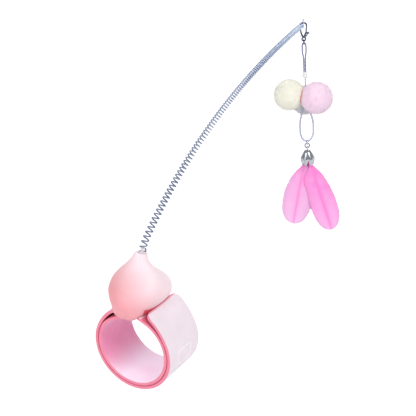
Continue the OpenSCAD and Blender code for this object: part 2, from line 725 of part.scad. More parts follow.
// radius and drop along the cap's outer face
cap_share = [[0.2, 0], [0.45, 0.07], [0.65, 0.2], [0.77, 0.38], [0.83, 0.58],
    [0.89, 0.78], [1, 1]];
notch_share = 0.48;                   // where the notches between petals begin
notch_w_share = 0.38;                 // half width of a notch at the petals' tips
lip_share = 0.3;                      // the wall's step inside the cap, of its thickness
roof_share = 1.3;                     // thickness of the cap's roof, of the wall's
module petal_cap() {
    color([0.8, 0.8, 0.84]) in_lure() translate([0, 0, cap_top]) {
        difference() {
            rotate_extrude($fn = 48) polygon(concat([[0, 0]],
                [for (p = cap_share) [p[0] * cap_r, -p[1] * cap_l]],
                [for (i = [len(cap_share) - 1:-1:0])
                    [max(cap_share[i][0] * cap_r - cap_wall, cap_wall / 2),
                        -max(cap_share[i][1] * cap_l, cap_wall)
                        - (i == len(cap_share) - 1 ? 0 : cap_wall * lip_share)]],
                [[0, -cap_wall * roof_share]]));
            for (i = [0:petals - 1]) rotate([0, 0, 360 * i / petals])
                rotate([90, 0, 90]) linear_extrude(cap_r * 2) polygon([
                    [0, -cap_l * notch_share], [cap_r * notch_w_share, -cap_l - overrun],
                    [-cap_r * notch_w_share, -cap_l - overrun]]);
        }
        translate([0, 0, cap_eye_r]) side_ring(cap_eye_r, cap_eye_d);
    }
}

root_drop_share = 0.2;                // the glue plug's top, under the cap's
root_r_share = 0.46;
root_top = cap_top - cap_l * root_drop_share;
root_l = 3.4;
root_r = cap_r * root_r_share;
root_z = root_top - root_l;
module root_plug() {
    color([0.9, 0.88, 0.8]) in_lure() translate([0, 0, root_z])
        cylinder(r = root_r, h = root_l);
}

// Feathers: shares of length, left and right half width
vane_share = [[0, 0.06, 0.06], [0.06, 0.09, 0.09], [0.13, 0.17, 0.17],
    [0.24, 0.5, 0.46], [0.38, 0.79, 0.73], [0.52, 0.94, 0.9], [0.66, 1, 1],
    [0.8, 0.95, 0.97], [0.9, 0.78, 0.8], [0.96, 0.55, 0.57], [0.99, 0.3, 0.3],
    [1, 0.1, 0.1]];
middle_w_share = 0.62;                // inner feathers, of the outer ones' width
rear_w_share = 0.5;

// a curved sheet: its length runs down, and it bends towards -Y
module vane(l, w) {
    intersection() {
        rotate([90, 0, 0]) linear_extrude(l, center = true) polygon(concat(
            [for (p = vane_share) [-p[1] * w / 2, -p[0] * l]],
            [for (i = [len(vane_share) - 1:-1:0])
                [vane_share[i][2] * w / 2, -vane_share[i][0] * l]]));
        translate([0, -feather_bend, 0]) rotate([0, 90, 0]) difference() {
            cylinder(r = feather_bend + vane_t / 2, h = w * 2, center = true, $fn = 180);
            cylinder(r = feather_bend - vane_t / 2, h = w * 3, center = true, $fn = 180);
        }
    }
}

quill_len_share = 0.86;
// the shaft lies on the vane's hollow side, or on the other for -1
module quill(l, side = 1) {
    r = feather_bend - side * (vane_t / 2 + quill_r + plug_gap);
    sweep_a = asin(l * quill_len_share / feather_bend);
    translate([0, -feather_bend, 0]) rotate([0, 90, 0])
        rotate([0, 0, 90 - sweep_a])
            rotate_extrude(angle = sweep_a, $fn = 180) translate([r, 0])
                circle(r = quill_r, $fn = 16);
}

// lean to the side in degrees, offset to the side and in depth, and
// backward lean in degrees, set so that the cap hangs upright
left_fan = [14, -1, -1.7, 6];
right_fan = [-14.5, 0.8, 0, 6];
middle_fan = [-9, 0.1, 1.5, 6];
rear_fan = [-4, 0, 3, 4];
root_gap = 0.25;
module fan(f) {
    in_lure() translate([f[1] * unit, f[2] * unit, root_z - root_gap])
        rotate([f[3], f[0], 0]) children();
}
module feather_left() {
    color([1, 0.55, 0.82]) fan(left_fan) vane(left_l, feather_w);
}
module feather_right() {
    color([1, 0.55, 0.82]) fan(right_fan) vane(right_l, feather_w);
}
module feather_middle() {
    color([0.95, 0.35, 0.7]) fan(middle_fan)
        vane(middle_l, feather_w * middle_w_share);
}
module feather_rear() {
    color([0.95, 0.85, 0.95]) fan(rear_fan) mirror([0, 1, 0])
        vane(rear_l, feather_w * rear_w_share);
}
module quill_left() {
    color([0.85, 0.35, 0.6]) fan(left_fan) quill(left_l);
}
module quill_right() {
    color([0.85, 0.35, 0.6]) fan(right_fan) quill(right_l);
}
module quill_middle() {
    color([0.85, 0.35, 0.6]) fan(middle_fan) quill(middle_l);
}
module quill_rear() {
    color([0.85, 0.6, 0.75]) fan(rear_fan) mirror([0, 1, 0]) quill(rear_l, -1);
}

band_sleeve();
steel_strip();
heart_holder();
tip_bush();
wand_plug();
wand_spring();
tip_eye();
clasp_body();
clasp_gate();
gate_pin();
clasp_link();
upper_cord();
cord_sleeve();
knot_bead();
hanger_thread();
tie_knot();
pompom_cream();
pompom_pink();
pompom_white();
lower_cord();
loop_link();
cap_link();
petal_cap();
root_plug();
feather_left();
feather_right();
feather_middle();
feather_rear();
quill_left();
quill_right();
quill_middle();
quill_rear();
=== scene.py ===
import bpy
import bmesh
from math import atan, atan2, copysign, cos, degrees, exp, hypot, log, pi, radians, sin, sqrt, tau
import random
from mathutils import Matrix, Vector, noise


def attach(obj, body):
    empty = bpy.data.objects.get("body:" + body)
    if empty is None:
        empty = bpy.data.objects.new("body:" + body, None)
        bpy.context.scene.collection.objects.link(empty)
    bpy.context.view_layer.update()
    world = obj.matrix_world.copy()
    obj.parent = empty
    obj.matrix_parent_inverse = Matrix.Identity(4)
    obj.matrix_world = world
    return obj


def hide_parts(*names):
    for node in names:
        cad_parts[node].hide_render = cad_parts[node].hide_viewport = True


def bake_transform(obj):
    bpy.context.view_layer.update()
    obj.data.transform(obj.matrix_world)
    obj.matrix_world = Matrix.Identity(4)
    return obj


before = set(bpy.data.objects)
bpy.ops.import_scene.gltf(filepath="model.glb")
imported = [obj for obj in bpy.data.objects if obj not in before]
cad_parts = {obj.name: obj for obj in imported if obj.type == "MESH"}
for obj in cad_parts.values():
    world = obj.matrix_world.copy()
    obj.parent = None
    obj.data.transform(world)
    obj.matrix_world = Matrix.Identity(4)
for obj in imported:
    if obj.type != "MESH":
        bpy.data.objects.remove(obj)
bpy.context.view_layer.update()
mm = 0.001
print("frame loaded")


# Camera, floor and lamps

shot = {
    "turn": 32,               # degrees round from the front
    "rise": 24,               # degrees above the floor
    "roll": 4,                # degrees that upright things lean to the left
    "place": (0.3745, -0.5189, 0.3676),
    "pixelFocus": 1200,
    "imageSize": 416,
    "sensor": 36,
}


def addObject(name, data):
    obj = bpy.data.objects.new(name, data)
    bpy.context.collection.objects.link(obj)
    return obj


def makeCamera(d):
    turn, rise, roll = (radians(d[k]) for k in ("turn", "rise", "roll"))
    right = Vector((cos(turn), sin(turn), 0))
    back = Vector((sin(turn) * cos(rise), -cos(turn) * cos(rise), sin(rise)))
    up = back.cross(right)
    tiltedRight = right * cos(roll) - up * sin(roll)
    tiltedUp = right * sin(roll) + up * cos(roll)
    lens = bpy.data.cameras.new("shotCamera")
    lens.sensor_width = d["sensor"]
    lens.lens = d["sensor"] * d["pixelFocus"] / d["imageSize"]
    lens.clip_start, lens.clip_end = 0.01, 20
    cam = addObject("shotCamera", lens)
    grid = Matrix((tiltedRight, tiltedUp, back)).transposed().to_4x4()
    cam.matrix_world = Matrix.Translation(d["place"]) @ grid
    bpy.context.scene.camera = cam


makeCamera(shot)


def addNode(tree, kind, **values):
    # in_From_Min=0.3 sets an input by its name, and in_1=0.3 by its number
    node = tree.nodes.new("ShaderNode" + kind)
    for key, value in values.items():
        if key.startswith("in_"):
            label = key[3:]
            node.inputs[int(label) if label.isdigit() else label.replace("_", " ")].default_value = value
        else:
            setattr(node, key, value)
    return node


def join(tree, *pairs):
    for output, socket in pairs:
        tree.links.new(output, socket)


def startTree(owner):
    owner.use_nodes = True
    owner.node_tree.nodes.clear()
    return owner.node_tree


def seenBy(tree, otherRay):
    # 1 for what the camera sees, by itself or through the other kind of ray
    path = addNode(tree, "LightPath")
    seen = addNode(tree, "Math", operation="MAXIMUM")
    join(tree, (path.outputs["Is Camera Ray"], seen.inputs[0]), (path.outputs[otherRay], seen.inputs[1]))
    return seen.outputs[0]


studio = {
    "floorHeight": -0.06,     # low enough for the feathers when the wand bends down
    "floorReach": 6,
    "floorTone": (0.86, 0.86, 0.87, 1),
    "floorLift": 0.36,        # how much plain white the camera sees in the floor
    "fill": 0.62,             # the world's even light
    "lamps": [
        # name, place, width, power, tint
        ("keyLamp", (0.95, -0.25, 1.05), 0.7, 9.5, (1, 0.985, 0.97)),
        ("softLamp", (-0.35, -1.05, 0.6), 0.9, 7.0, (1, 0.97, 0.985)),
        ("backLamp", (-0.3, 0.95, 0.8), 0.6, 4.0, (0.98, 0.98, 1)),
    ],
    "aim": (0.02, 0.04, 0.07),
}


def makeFloor(d):
    s, z = d["floorReach"], d["floorHeight"]
    mesh = bpy.data.meshes.new("studioFloor")
    mesh.from_pydata([(-s, -s, z), (s, -s, z), (s, s, z), (-s, s, z)], [], [(0, 1, 2, 3)])
    addObject("studioFloor", mesh)
    mat = bpy.data.materials.new("floorPaper")
    tree = startTree(mat)
    out = addNode(tree, "OutputMaterial")
    diffuse = addNode(tree, "BsdfDiffuse", in_Color=d["floorTone"])
    glow = addNode(tree, "Emission", in_Color=(1, 1, 1, 1))
    lift = addNode(tree, "Math", operation="MULTIPLY", in_1=d["floorLift"])
    add = addNode(tree, "AddShader")
    join(tree, (seenBy(tree, "Is Glossy Ray"), lift.inputs[0]), (lift.outputs[0], glow.inputs["Strength"]),
         (diffuse.outputs[0], add.inputs[0]), (glow.outputs[0], add.inputs[1]),
         (add.outputs[0], out.inputs["Surface"]))
    mesh.materials.append(mat)


def makeAir(d):
    world = bpy.data.worlds.new("studioAir")
    bpy.context.scene.world = world
    tree = startTree(world)
    out = addNode(tree, "OutputWorld")
    air = addNode(tree, "Background")
    mix = addNode(tree, "Mix", in_2=d["fill"], in_3=1.0)
    join(tree, (seenBy(tree, "Is Transmission Ray"), mix.inputs[0]),
         (mix.outputs[0], air.inputs["Strength"]), (air.outputs[0], out.inputs["Surface"]))


def makeLamps(d):
    for name, place, width, power, tint in d["lamps"]:
        lamp = bpy.data.lights.new(name, "AREA")
        lamp.size = width
        lamp.energy = power
        lamp.color = tint
        obj = addObject(name, lamp)
        obj.location = place
        obj.rotation_euler = (Vector(d["aim"]) - Vector(place)).to_track_quat("-Z", "Y").to_euler()


makeFloor(studio)
makeAir(studio)
makeLamps(studio)
bpy.context.scene.view_settings.view_transform = "Standard"
print("camera and studio ready")


# Shared effects

def newGroup(name, inputs, outputs):
    group = bpy.data.node_groups.new(name, "ShaderNodeTree")
    for label, kind, value in inputs:
        socket = group.interface.new_socket(label, in_out="INPUT", socket_type=kind)
        socket.default_value = value
    for label in outputs:
        group.interface.new_socket(label, in_out="OUTPUT", socket_type="NodeSocketFloat")
    return group, group.nodes.new("NodeGroupInput").outputs, group.nodes.new("NodeGroupOutput").inputs


def addSpots(group, place, size, detail, rough):
    # noise with spots of the given size in mm
    scale = addNode(group, "Math", operation="DIVIDE", in_0=1 / mm)
    spots = addNode(group, "TexNoise", in_Detail=detail, in_Roughness=rough)
    join(group, (size, scale.inputs[1]), (scale.outputs[0], spots.inputs["Scale"]),
         (place, spots.inputs["Vector"]))
    return spots.outputs["Fac"]


def addMask(group, spots, low, high, strength, mask):
    spread = addNode(group, "MapRange", in_From_Min=low, in_From_Max=high)
    amount = addNode(group, "Math", operation="MULTIPLY", use_clamp=True)
    join(group, (spots, spread.inputs["Value"]), (spread.outputs["Result"], amount.inputs[0]),
         (strength, amount.inputs[1]), (amount.outputs[0], mask))


def makeSoftBlotch():
    group, start, end = newGroup(
        "softBlotch", [("Blotch Size", "NodeSocketFloat", 4), ("Grain Size", "NodeSocketFloat", 0.2),
                       ("Strength", "NodeSocketFloat", 0.5)], ("Mask", "Grain"))
    place = addNode(group, "TexCoord").outputs["Object"]
    blotch = addSpots(group, place, start["Blotch Size"], 3, 0.55)
    grain = addSpots(group, place, start["Grain Size"], 2, 0.6)
    addMask(group, blotch, 0.3, 0.7, start["Strength"], end["Mask"])
    join(group, (grain, end["Grain"]))
    return group


def makeDrawnLines():
    group, start, end = newGroup(
        "drawnLines", [("Line Size", "NodeSocketFloat", 0.1), ("Stretch", "NodeSocketVector", (1, 1, 0.1)),
                       ("Strength", "NodeSocketFloat", 0.5)], ("Mask", "Height"))
    place = addNode(group, "TexCoord").outputs["Object"]
    squeeze = addNode(group, "VectorMath", operation="MULTIPLY")
    join(group, (place, squeeze.inputs[0]), (start["Stretch"], squeeze.inputs[1]))
    lines = addSpots(group, squeeze.outputs[0], start["Line Size"], 4, 0.65)
    addMask(group, lines, 0.35, 0.65, start["Strength"], end["Mask"])
    join(group, (lines, end["Height"]))
    return group


softBlotch = makeSoftBlotch()
drawnLines = makeDrawnLines()


def startMaterial(name, **values):
    mat = bpy.data.materials.new(name)
    mat.use_nodes = True
    shader = mat.node_tree.nodes["Principled BSDF"]
    for key, value in values.items():
        shader.inputs[key.replace("_", " ")].default_value = value
    return mat, mat.node_tree, shader


def useGroup(tree, group, **values):
    node = addNode(tree, "Group", node_tree=group)
    for key, value in values.items():
        node.inputs[key.replace("_", " ")].default_value = value
    return node.outputs


def shade(hexCode):
    parts = [int(hexCode[i:i + 2], 16) / 255 for i in (0, 2, 4)]
    return tuple(c / 12.92 if c <= 0.04045 else ((c + 0.055) / 1.055) ** 2.4 for c in parts) + (1,)


def mixColour(tree, factor, first, second):
    node = addNode(tree, "Mix", data_type="RGBA")
    for index, value in ((0, factor), (6, first), (7, second)):
        if isinstance(value, str):
            node.inputs[index].default_value = shade(value)
        else:
            join(tree, (value, node.inputs[index]))
    return node.outputs[2]


def rangeValue(tree, value, low, high):
    node = addNode(tree, "MapRange", in_To_Min=low, in_To_Max=high)
    join(tree, (value, node.inputs["Value"]))
    return node.outputs["Result"]


def readValue(tree, name):
    return addNode(tree, "Attribute", attribute_name=name).outputs["Fac"]


def readZones(tree, name):
    zones = addNode(tree, "Attribute", attribute_name=name)
    parts = addNode(tree, "SeparateColor")
    join(tree, (zones.outputs["Color"], parts.inputs["Color"]))
    return parts.outputs, zones.outputs["Alpha"]


def finishMaterial(mat, tree, shader, colour, height, depth, strength, rough=None):
    # colour and bump, and where two values are given, a roughness between them
    bump = addNode(tree, "Bump", in_Strength=strength, in_Distance=depth)
    join(tree, (colour, shader.inputs["Base Color"]), (height, bump.inputs["Height"]),
         (bump.outputs["Normal"], shader.inputs["Normal"]))
    if rough:
        join(tree, (rangeValue(tree, height, *rough), shader.inputs["Roughness"]))
    return mat


# Materials

def makeHeartSilicone():
    mat, tree, shader = startMaterial(
        "heartSilicone", Roughness=0.46, Specular_IOR_Level=0.42,
        Subsurface_Weight=0.12, Subsurface_Scale=0.002, Coat_Weight=0.12, Coat_Roughness=0.35,
        Sheen_Weight=0.1, Sheen_Roughness=0.5)
    skin = useGroup(tree, softBlotch, Blotch_Size=14.0, Grain_Size=0.35, Strength=0.7)
    deep = mixColour(tree, skin["Mask"], "E5949C", "E9A0A7")
    pale = mixColour(tree, skin["Mask"], "EFDCE3", "F2E3E9")
    # painted light and shade: the heart turns from the deeper colour at the lower left to the pale colour
    # at the upper right
    whole = mixColour(tree, readValue(tree, "paintedLightShade"), deep, pale)
    # painted shade: a deep red inside the band's slot
    colour = mixColour(tree, readValue(tree, "slotPaintedShade"), whole, "D64A60")
    return finishMaterial(mat, tree, shader, colour, skin["Grain"], 0.00004, 0.35, (0.42, 0.52))


def makeBandSilicone():
    mat, tree, shader = startMaterial(
        "bandSilicone", Roughness=0.5, Specular_IOR_Level=0.4,
        Subsurface_Weight=0.08, Subsurface_Scale=0.0015, Sheen_Weight=0.08, Sheen_Roughness=0.5)
    zones, paintedInsideShade = readZones(tree, "bandZonesAndShade")
    skin = useGroup(tree, softBlotch, Blotch_Size=9.0, Grain_Size=0.3, Strength=0.8)
    outside = mixColour(tree, skin["Mask"], "E9DCE5", "EFE4EC")
    deep = mixColour(tree, skin["Mask"], "F08DB5", "F49DC2")
    pale = mixColour(tree, skin["Mask"], "F7E2F2", "F9EAF6")
    # painted shade: the inside is deeper on the left and paler towards the right
    face = mixColour(tree, zones["Green"], outside, mixColour(tree, paintedInsideShade, deep, pale))
    edge = mixColour(tree, skin["Mask"], "E3809A", "E88CA2")
    whole = mixColour(tree, zones["Red"], face, edge)
    # painted shade: a dark red where the layers lie on one another and along the line between them
    colour = mixColour(tree, zones["Blue"], whole, "D23C5C")
    return finishMaterial(mat, tree, shader, colour, skin["Grain"], 0.00004, 0.35, (0.45, 0.58))


def makeFrameSilicone():
    mat, tree, shader = startMaterial(
        "frameSilicone", Roughness=0.42, Specular_IOR_Level=0.5, Sheen_Weight=0.1)
    skin = useGroup(tree, softBlotch, Blotch_Size=5.0, Grain_Size=0.25, Strength=0.8)
    colour = mixColour(tree, skin["Mask"], "F4E9F1", "F9F2F7")
    return finishMaterial(mat, tree, shader, colour, skin["Grain"], 0.00003, 0.3)


def makeSteel(name, pale, dark, rough, lineSize=0.12, stretch=(1, 1, 0.25)):
    mat, tree, shader = startMaterial(name, Metallic=1.0, Roughness=rough[0])
    lines = useGroup(tree, drawnLines, Line_Size=lineSize, Strength=0.8, Stretch=stretch)
    dull = useGroup(tree, softBlotch, Blotch_Size=2.5, Grain_Size=0.12, Strength=0.6)
    clouded = mixColour(tree, dull["Mask"], mixColour(tree, lines["Mask"], pale, dark), dark)
    return finishMaterial(mat, tree, shader, clouded, lines["Height"], 0.00001, 0.4, rough)


def makeSpringSteel():
    # painted light and shade: darker at the foot, paler where the turns close up towards the tip
    mat, tree, shader = startMaterial("springSteel", Metallic=0.75, Roughness=0.3)
    lines = useGroup(tree, drawnLines, Line_Size=0.15, Strength=0.6, Stretch=(1, 1, 0.25))
    dull = useGroup(tree, softBlotch, Blotch_Size=2.5, Grain_Size=0.12, Strength=0.5)
    foot = mixColour(tree, lines["Mask"], "838EA8", "57617C")
    tip = mixColour(tree, lines["Mask"], "D8E2F2", "A2B2CE")
    late = rangeValue(tree, readValue(tree, "wireShare"), -0.25, 0.95)
    # painted light: the paler tip colour stands for the brighter look of the closed turns
    colour = mixColour(tree, late, foot, tip)
    clouded = mixColour(tree, rangeValue(tree, dull["Mask"], 0, 0.5), colour, foot)
    return finishMaterial(mat, tree, shader, clouded, lines["Height"], 0.00001, 0.3, (0.26, 0.42))


def makePlastic(name, pale, dark, rough):
    mat, tree, shader = startMaterial(name, Roughness=rough, Specular_IOR_Level=0.5,
                                      Subsurface_Weight=0.1, Subsurface_Scale=0.001)
    skin = useGroup(tree, softBlotch, Blotch_Size=1.2, Grain_Size=0.08, Strength=0.8)
    colour = mixColour(tree, skin["Mask"], pale, dark)
    return finishMaterial(mat, tree, shader, colour, skin["Grain"], 0.00002, 0.35,
                          (rough - 0.06, rough + 0.08))


def makeFluff(name, pale, deep, shadow):
    mat, tree, shader = startMaterial(name, Roughness=0.92, Specular_IOR_Level=0.12,
                                      Sheen_Weight=0.35, Sheen_Roughness=0.6)
    tufts = useGroup(tree, softBlotch, Blotch_Size=2.6, Grain_Size=0.3, Strength=0.9)
    wide = useGroup(tree, softBlotch, Blotch_Size=9.0, Grain_Size=0.12, Strength=0.7)
    clouded = mixColour(tree, wide["Mask"], mixColour(tree, tufts["Mask"], pale, deep), pale)
    # painted shade: deeper towards the fibres' roots and in the core's hollows
    rootShaded = mixColour(tree, readValue(tree, "fibreRootShade"), clouded, shadow)
    return finishMaterial(mat, tree, shader, rootShaded, wide["Grain"], 0.0001, 0.7)


def makeCordCloth(name, pale, dark, lineSize=0.16):
    mat, tree, shader = startMaterial(name, Roughness=0.78, Specular_IOR_Level=0.25,
                                      Sheen_Weight=0.25, Sheen_Roughness=0.45)
    fuzz = useGroup(tree, softBlotch, Blotch_Size=0.8, Grain_Size=0.07, Strength=0.7)
    lines = useGroup(tree, drawnLines, Line_Size=lineSize, Strength=0.5)
    # painted shade: the cloth deepens in the grooves between the plies
    grooveShaded = mixColour(tree, readValue(tree, "plyGrooveShade"), mixColour(tree, fuzz["Mask"], pale, dark), dark)
    return finishMaterial(mat, tree, shader, grooveShaded, lines["Height"], 0.00005, 0.6)


def makeFeather(name, root, body, edge, streak, thin):
    mat, tree, shader = startMaterial(name, Roughness=0.62, Specular_IOR_Level=0.22,
                                      Sheen_Weight=0.4, Sheen_Roughness=0.4)
    zones, rim = readZones(tree, "vaneZones")
    ramp = addNode(tree, "ValToRGB")
    ramp.color_ramp.elements[0].color = shade(root)
    ramp.color_ramp.elements[1].color = shade(edge)
    ramp.color_ramp.elements.new(0.42).color = shade(body)
    bend = useGroup(tree, softBlotch, Blotch_Size=4.0, Grain_Size=0.15, Strength=0.55)
    clouded = mixColour(tree, bend["Mask"], ramp.outputs["Color"], edge)
    streaked = mixColour(tree, zones["Green"], clouded, streak)
    barbed = mixColour(tree, rangeValue(tree, zones["Blue"], 0, 0.3), streaked, streak)
    join(tree, (zones["Red"], ramp.inputs["Fac"]),
         (rangeValue(tree, rim, 1.0, thin), shader.inputs["Alpha"]))
    return finishMaterial(mat, tree, shader, barbed, bend["Grain"], 0.00004, 0.5)


def makeShaft(name, pale, dark):
    mat, tree, shader = startMaterial(name, Roughness=0.4, Specular_IOR_Level=0.45,
                                      Subsurface_Weight=0.1, Subsurface_Scale=0.001)
    lines = useGroup(tree, drawnLines, Line_Size=0.1, Strength=0.7)
    colour = mixColour(tree, lines["Mask"], pale, dark)
    return finishMaterial(mat, tree, shader, colour, lines["Height"], 0.00002, 0.4)


heartSilicone = makeHeartSilicone()
bandSilicone = makeBandSilicone()
frameSilicone = makeFrameSilicone()
stripSteel = makeSteel("stripSteel", "B4B8BD", "8B9096", (0.32, 0.45), 0.2, (1, 0.1, 1))
springSteel = makeSpringSteel()
tipSteel = makeSteel("tipSteel", "D6DEEE", "9AA5C2", (0.24, 0.38), 0.15)
plugSteel = makeSteel("plugSteel", "E6E4EA", "C9C4CE", (0.3, 0.42), 0.1)
claspSteel = makeSteel("claspSteel", "7E8496", "3F4455", (0.18, 0.3), 0.1)
ringSteel = makeSteel("ringSteel", "D5D8E0", "9BA1AF", (0.14, 0.26), 0.1)
capSilver = makeSteel("capSilver", "C9CCD2", "8D9299", (0.12, 0.26), 0.25)
bushPlastic = makePlastic("bushPlastic", "F3D4DA", "EBC2CA", 0.42)
beadPlastic = makePlastic("beadPlastic", "EEEEF0", "D5D7DD", 0.34)
rootGlue = makePlastic("rootGlue", "E9C9D6", "D49DB8", 0.4)
creamFluff = makeFluff("creamFluff", "FAFAF3", "F2F2DE", "E2E2C4")
pinkFluff = makeFluff("pinkFluff", "FBEFF8", "F5D3EB", "E8B2D8")
whiteFluff = makeFluff("whiteFluff", "E6E7EA", "CFD2D8", "B3B7C0")
upperCloth = makeCordCloth("upperCloth", "9296BC", "4C5078")
lowerCloth = makeCordCloth("lowerCloth", "CDD0E4", "9EA4C4")
threadCloth = makeCordCloth("threadCloth", "9A9AA8", "55555F", 0.08)
tieCloth = makeCordCloth("tieCloth", "F7AD94", "EE8A74", 0.08)
outerFeather = makeFeather("outerFeather", "FB86D2", "EFA6DC", "E8BFE4", "F690D4", 0.85)
rightFeather = makeFeather("rightFeather", "FF74CB", "FB8ED6", "EBB4E2", "F77CCC", 0.88)
middleFeather = makeFeather("middleFeather", "FB7CCB", "EBA4D8", "E6B8E0", "F08CCB", 0.9)
rearFeather = makeFeather("rearFeather", "F2B0DA", "E2C6E2", "DDD6EA", "E8A7D2", 0.85)
featherShaft = makeShaft("featherShaft", "FB9AD8", "F281C8")
print("materials ready")


# Mesh helpers

def smoothFaces(piece):
    piece.data.polygons.foreach_set("use_smooth", [True] * len(piece.data.polygons))


def makePiece(name, points, faces, material, outward=True):
    mesh = bpy.data.meshes.new(name)
    mesh.from_pydata([tuple(p) for p in points], [], faces)
    mesh.validate()
    mesh.materials.append(material)
    piece = addObject(name, mesh)
    smoothFaces(piece)
    mesh.update()
    if outward:
        fixNormals(piece)
    return piece


def reworkMesh(piece, job, part, **values):
    work = bmesh.new()
    work.from_mesh(piece.data)
    job(work, **{part: getattr(work, part)}, **values)
    work.to_mesh(piece.data)
    work.free()


def fixNormals(piece):
    reworkMesh(piece, bmesh.ops.recalc_face_normals, "faces")


def storeValues(piece, name, values):
    layer = piece.data.attributes.new(name, "FLOAT", "POINT")
    layer.data.foreach_set("value", values)


def storeColours(piece, name, values):
    layer = piece.data.attributes.new(name, "FLOAT_COLOR", "POINT")
    layer.data.foreach_set("color", [c for value in values for c in value])


def addModifier(piece, name, kind, **values):
    modifier = piece.modifiers.new(name, kind)
    for key, value in values.items():
        setattr(modifier, key, value)


def applyModifiers(piece):
    depsgraph = bpy.context.evaluated_depsgraph_get()
    mesh = bpy.data.meshes.new_from_object(piece.evaluated_get(depsgraph), depsgraph=depsgraph)
    piece.modifiers.clear()
    piece.data = mesh


def turns(count):
    return [tau * k / count for k in range(count)]


def roundPoints(centre, first, second, radius, count):
    return [centre + (first * cos(q) + second * sin(q)) * radius for q in turns(count)]


def tubeFaces(rings, sides, closed=False, caps=True):
    faces = []
    for i in range(rings if closed else rings - 1):
        for k in range(sides):
            a, b = i * sides, (i + 1) % rings * sides
            faces.append((a + k, a + (k + 1) % sides, b + (k + 1) % sides, b + k))
    if caps and not closed:
        faces.append(tuple(reversed(range(sides))))
        faces.append(tuple((rings - 1) * sides + k for k in range(sides)))
    return faces


def carriedFrames(line):
    # at each point, two directions square to the line that don't twist round it
    frames, side = [], None
    count = len(line)
    for i in range(count):
        along = (line[min(i + 1, count - 1)] - line[max(i - 1, 0)]).normalized()
        if side is None:
            side = along.orthogonal().normalized()
        side = (side - along * side.dot(along)).normalized()
        frames.append((side, along.cross(side)))
    return frames


def smoothLine(points, step):
    fine = []
    count = len(points)
    for i in range(count - 1):
        p0 = points[max(i - 1, 0)]
        p1, p2 = points[i], points[i + 1]
        p3 = points[min(i + 2, count - 1)]
        parts = max(2, round((p2 - p1).length / step))
        for j in range(parts):
            u = j / parts
            fine.append(0.5 * ((2 * p1) + (p2 - p0) * u + (2 * p0 - 5 * p1 + 4 * p2 - p3) * u ** 2
                               + (3 * p1 - p0 - 3 * p2 + p3) * u ** 3))
    fine.append(points[-1].copy())
    return fine


# smooth curve through a table of pairs, as the CAD source draws it
def smoothAt(table, a):
    last = len(table) - 1
    i = 0
    while i < last - 1 and a >= table[i + 1][0]:
        i += 1

    def rise(j):
        return (table[j + 1][1] - table[j][1]) / (table[j + 1][0] - table[j][0])

    def slope(j):
        if j <= 0:
            return rise(0)
        if j >= last:
            return rise(last - 1)
        if (table[j][1] - table[j - 1][1]) * (table[j + 1][1] - table[j][1]) <= 0:
            return 0
        return (table[j + 1][1] - table[j - 1][1]) / (table[j + 1][0] - table[j - 1][0])

    h = table[i + 1][0] - table[i][0]
    u = (a - table[i][0]) / h
    return ((2 * u ** 3 - 3 * u ** 2 + 1) * table[i][1] + (u ** 3 - 2 * u ** 2 + u) * h * slope(i)
            + (3 * u ** 2 - 2 * u ** 3) * table[i + 1][1] + (u ** 3 - u ** 2) * h * slope(i + 1))


def fade(value, low, high):
    u = min(max((value - low) / (high - low), 0), 1)
    return u * u * (3 - 2 * u)


# Band

band = {
    "outerMid": 25.8, "layerPitch": 2.35, "width": 33, "thick": 2.2,
    "path": [(24, 1.06), (34, 0.77), (48, 0.3), (62, 0.04), (72, 0), (80, 0), (290, 0), (298, 0),
             (312, 0.06), (330, 0.3), (345, 0.32), (360, -0.08), (378, -0.9), (392, -1), (400, -1),
             (652, -1), (660, -1), (674, -1.2), (690, -1.58), (705, -1.74), (718, -2.02), (726, -2.2)],
    "from": 24, "to": 716,
    "innerFree": 362,         # from here on, the inner face isn't covered by the layer below
    "outerCovered": 380,      # from here on, the outer face is covered by the layer above
    "outerSeamShade": 382,         # from here on, a painted shade line shows between that face and the layer above
    "cornerRound": 5,         # the band's corners, seen flat
    "edgeRound": 0.38,        # the long edges' rounding
    "endRound": 1.0,
    "step": 2.0,              # degrees between stations
    "near": [0, 0.08, 0.25, 0.5, 0.8, 1.2, 1.7, 2.3, 3, 3.8, 4.6],   # stations close to both ends
    "nearReach": 6, "endReach": 6.5,
    "arcSteps": 5, "faceSteps": 8,
    "rimSpan": (0.15, 1.2),   # how far round an edge its colour starts and is full
    "endRimSpan": (0.6, 1.9), "coveredShade": 0.4,
    "insideShadeSpan": (-25, -9),    # painted shade: from left to right, where the inside turns paler
}


def bandRadius(a):
    return band["outerMid"] + band["layerPitch"] * smoothAt(band["path"], a)


def atClock(a, r, y=0):
    # degrees round from the top, the distance from the middle, and the place along the axis
    return Vector((r * sin(radians(a)), y, r * cos(radians(a))))


def bandStations(d):
    perDegree = radians(d["outerMid"])
    angles = [d["from"] + s / perDegree for s in d["near"]]
    a = d["from"] + d["nearReach"] / perDegree
    while a < d["to"] - d["endReach"] / perDegree:
        angles.append(a)
        a += d["step"]
    return angles + [d["to"] - s / radians(bandRadius(d["to"])) for s in reversed(d["near"])]


def bandSection(d, w, t, rc):
    # offset, height, how far round the edge it is, and the face that it belongs to
    section = []
    for face in (1, -1):
        for i in range(d["faceSteps"] + 1):
            section.append((face * (w - rc) * (2 * i / d["faceSteps"] - 1), face * t, 0, face))
        for i in range(1, d["arcSteps"] + 1):
            q = pi / 2 * i / d["arcSteps"]
            section.append((face * (w - rc + rc * sin(q)), face * (t - rc + rc * cos(q)),
                            fade(q, *d["rimSpan"]), face))
        for i in range(d["arcSteps"]):
            q = pi / 2 * i / d["arcSteps"]
            section.append((face * (w - rc + rc * cos(q)), -face * (t - rc + rc * sin(q)),
                            fade(pi / 2 - q, *d["rimSpan"]), -face))
    return section


